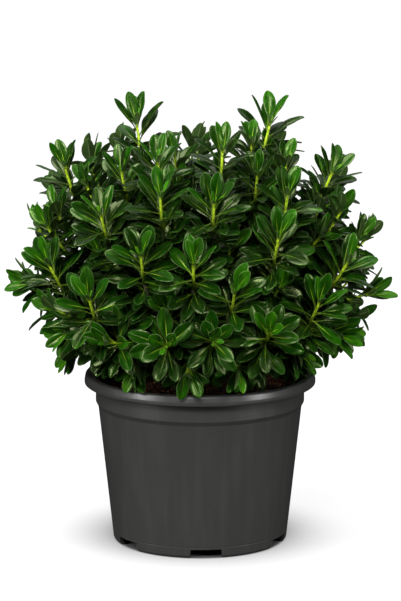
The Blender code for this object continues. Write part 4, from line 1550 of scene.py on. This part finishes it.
def woodTubes(branchlets):
    foot, top = wood["trunkFoot"], wood["trunkTop"]
    trunk = [Vector((0, 0, foot + (top - foot) * i / 8)) for i in range(9)]
    skins = []
    for paths, radii, sides in (([trunk], wood["trunkRadii"], 20),
                                (limbPaths(wood["limbSteps"]), wood["limbRadii"], 12),
                                (branchlets, wood["branchletRadii"], 8)):
        for path in paths:
            skins.append(tube(path, np.linspace(*radii, len(path)).tolist(), sides))
    return skins


def buildWood(skins):
    piece = makePiece("wood", *joined(skins), barkMaterial())
    fuse = piece.modifiers.new("fuse", "REMESH")
    fuse.mode = "VOXEL"
    fuse.voxel_size = wood["voxel"]
    ease = piece.modifiers.new("ease", "SMOOTH")
    ease.factor = wood["easeShare"]
    ease.iterations = wood["easeRounds"]
    thin = piece.modifiers.new("thin", "DECIMATE")
    thin.ratio = wood["keep"]
    applyModifiers(piece)
    piece.data.shade_smooth()
    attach(piece, "root")
    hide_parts("woody_stems")


# Floor


def buildFloor():
    material, tree, shader = newMaterial("floorPaper")
    place = objectPlace(tree)
    fibre = noiseValue(tree, place, 300, 3)
    color = studio["floorColor"]
    darker = tuple(channel * 0.985 for channel in color)
    flat = stretched(tree, place, (1, 1, 0))
    fromAxis = addNode(tree, "VectorMath", {0: flat}, operation="LENGTH").outputs["Value"]
    aside = addNode(tree, "VectorMath", {0: flat, 1: (*studio["paintedShadowCentre"], 0)},
                    operation="DISTANCE").outputs["Value"]
    # painted shade under the pot, and a painted soft shadow around its foot where the glow is
    # less
    pastPaintedShade = smoothStep(tree, fromAxis, *studio["paintedShadeUnderPot"])
    near, far = studio["nearGlow"], studio["farGlow"]
    start, end = studio["paintedShadowRise"]
    paintedShadow = scaled(tree, aside, -1 / (end - start), end / (end - start), clamp=True)
    glow = scaled(tree, times(tree, paintedShadow, paintedShadow), -near, near)
    away = smoothStep(tree, aside, *studio["glowGrow"])
    glow = scaled(tree, away, far - near, glow)
    feed(tree, shader, {
        "Base Color": mixColors(tree, fibre, darker, color),
        "Roughness": 0.9,
        "Specular IOR Level": 0.1,
        "Emission Color": (1, 1, 1, 1),
        "Emission Strength": times(tree, glow, pastPaintedShade),
    })
    reach = studio["floorReach"]
    points = [(x * reach, y * reach, 0) for x, y in ((-1, -1), (1, -1), (1, 1), (-1, 1))]
    floor = makePiece("studio_floor", points, [(0, 1, 2, 3)], material)
    floor.visible_diffuse = False
    floor.visible_glossy = False
    floor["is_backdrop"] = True


placeCamera()
placeLights()
buildFloor()
print("studio ready")
buildPot()
print("pot ready")
buildSoil()
print("soil ready")
groups, branchlets = planCrown()
woodSkins = woodTubes(branchlets)
buildWood(woodSkins)
print("wood ready")
buildCrown(groups, woodSkins)

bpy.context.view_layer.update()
triangles = {piece.name: sum(len(face.vertices) - 2 for face in piece.data.polygons)
             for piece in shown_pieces()}
print("triangles:", sum(triangles.values()), "most in a piece:", max(triangles.values()))
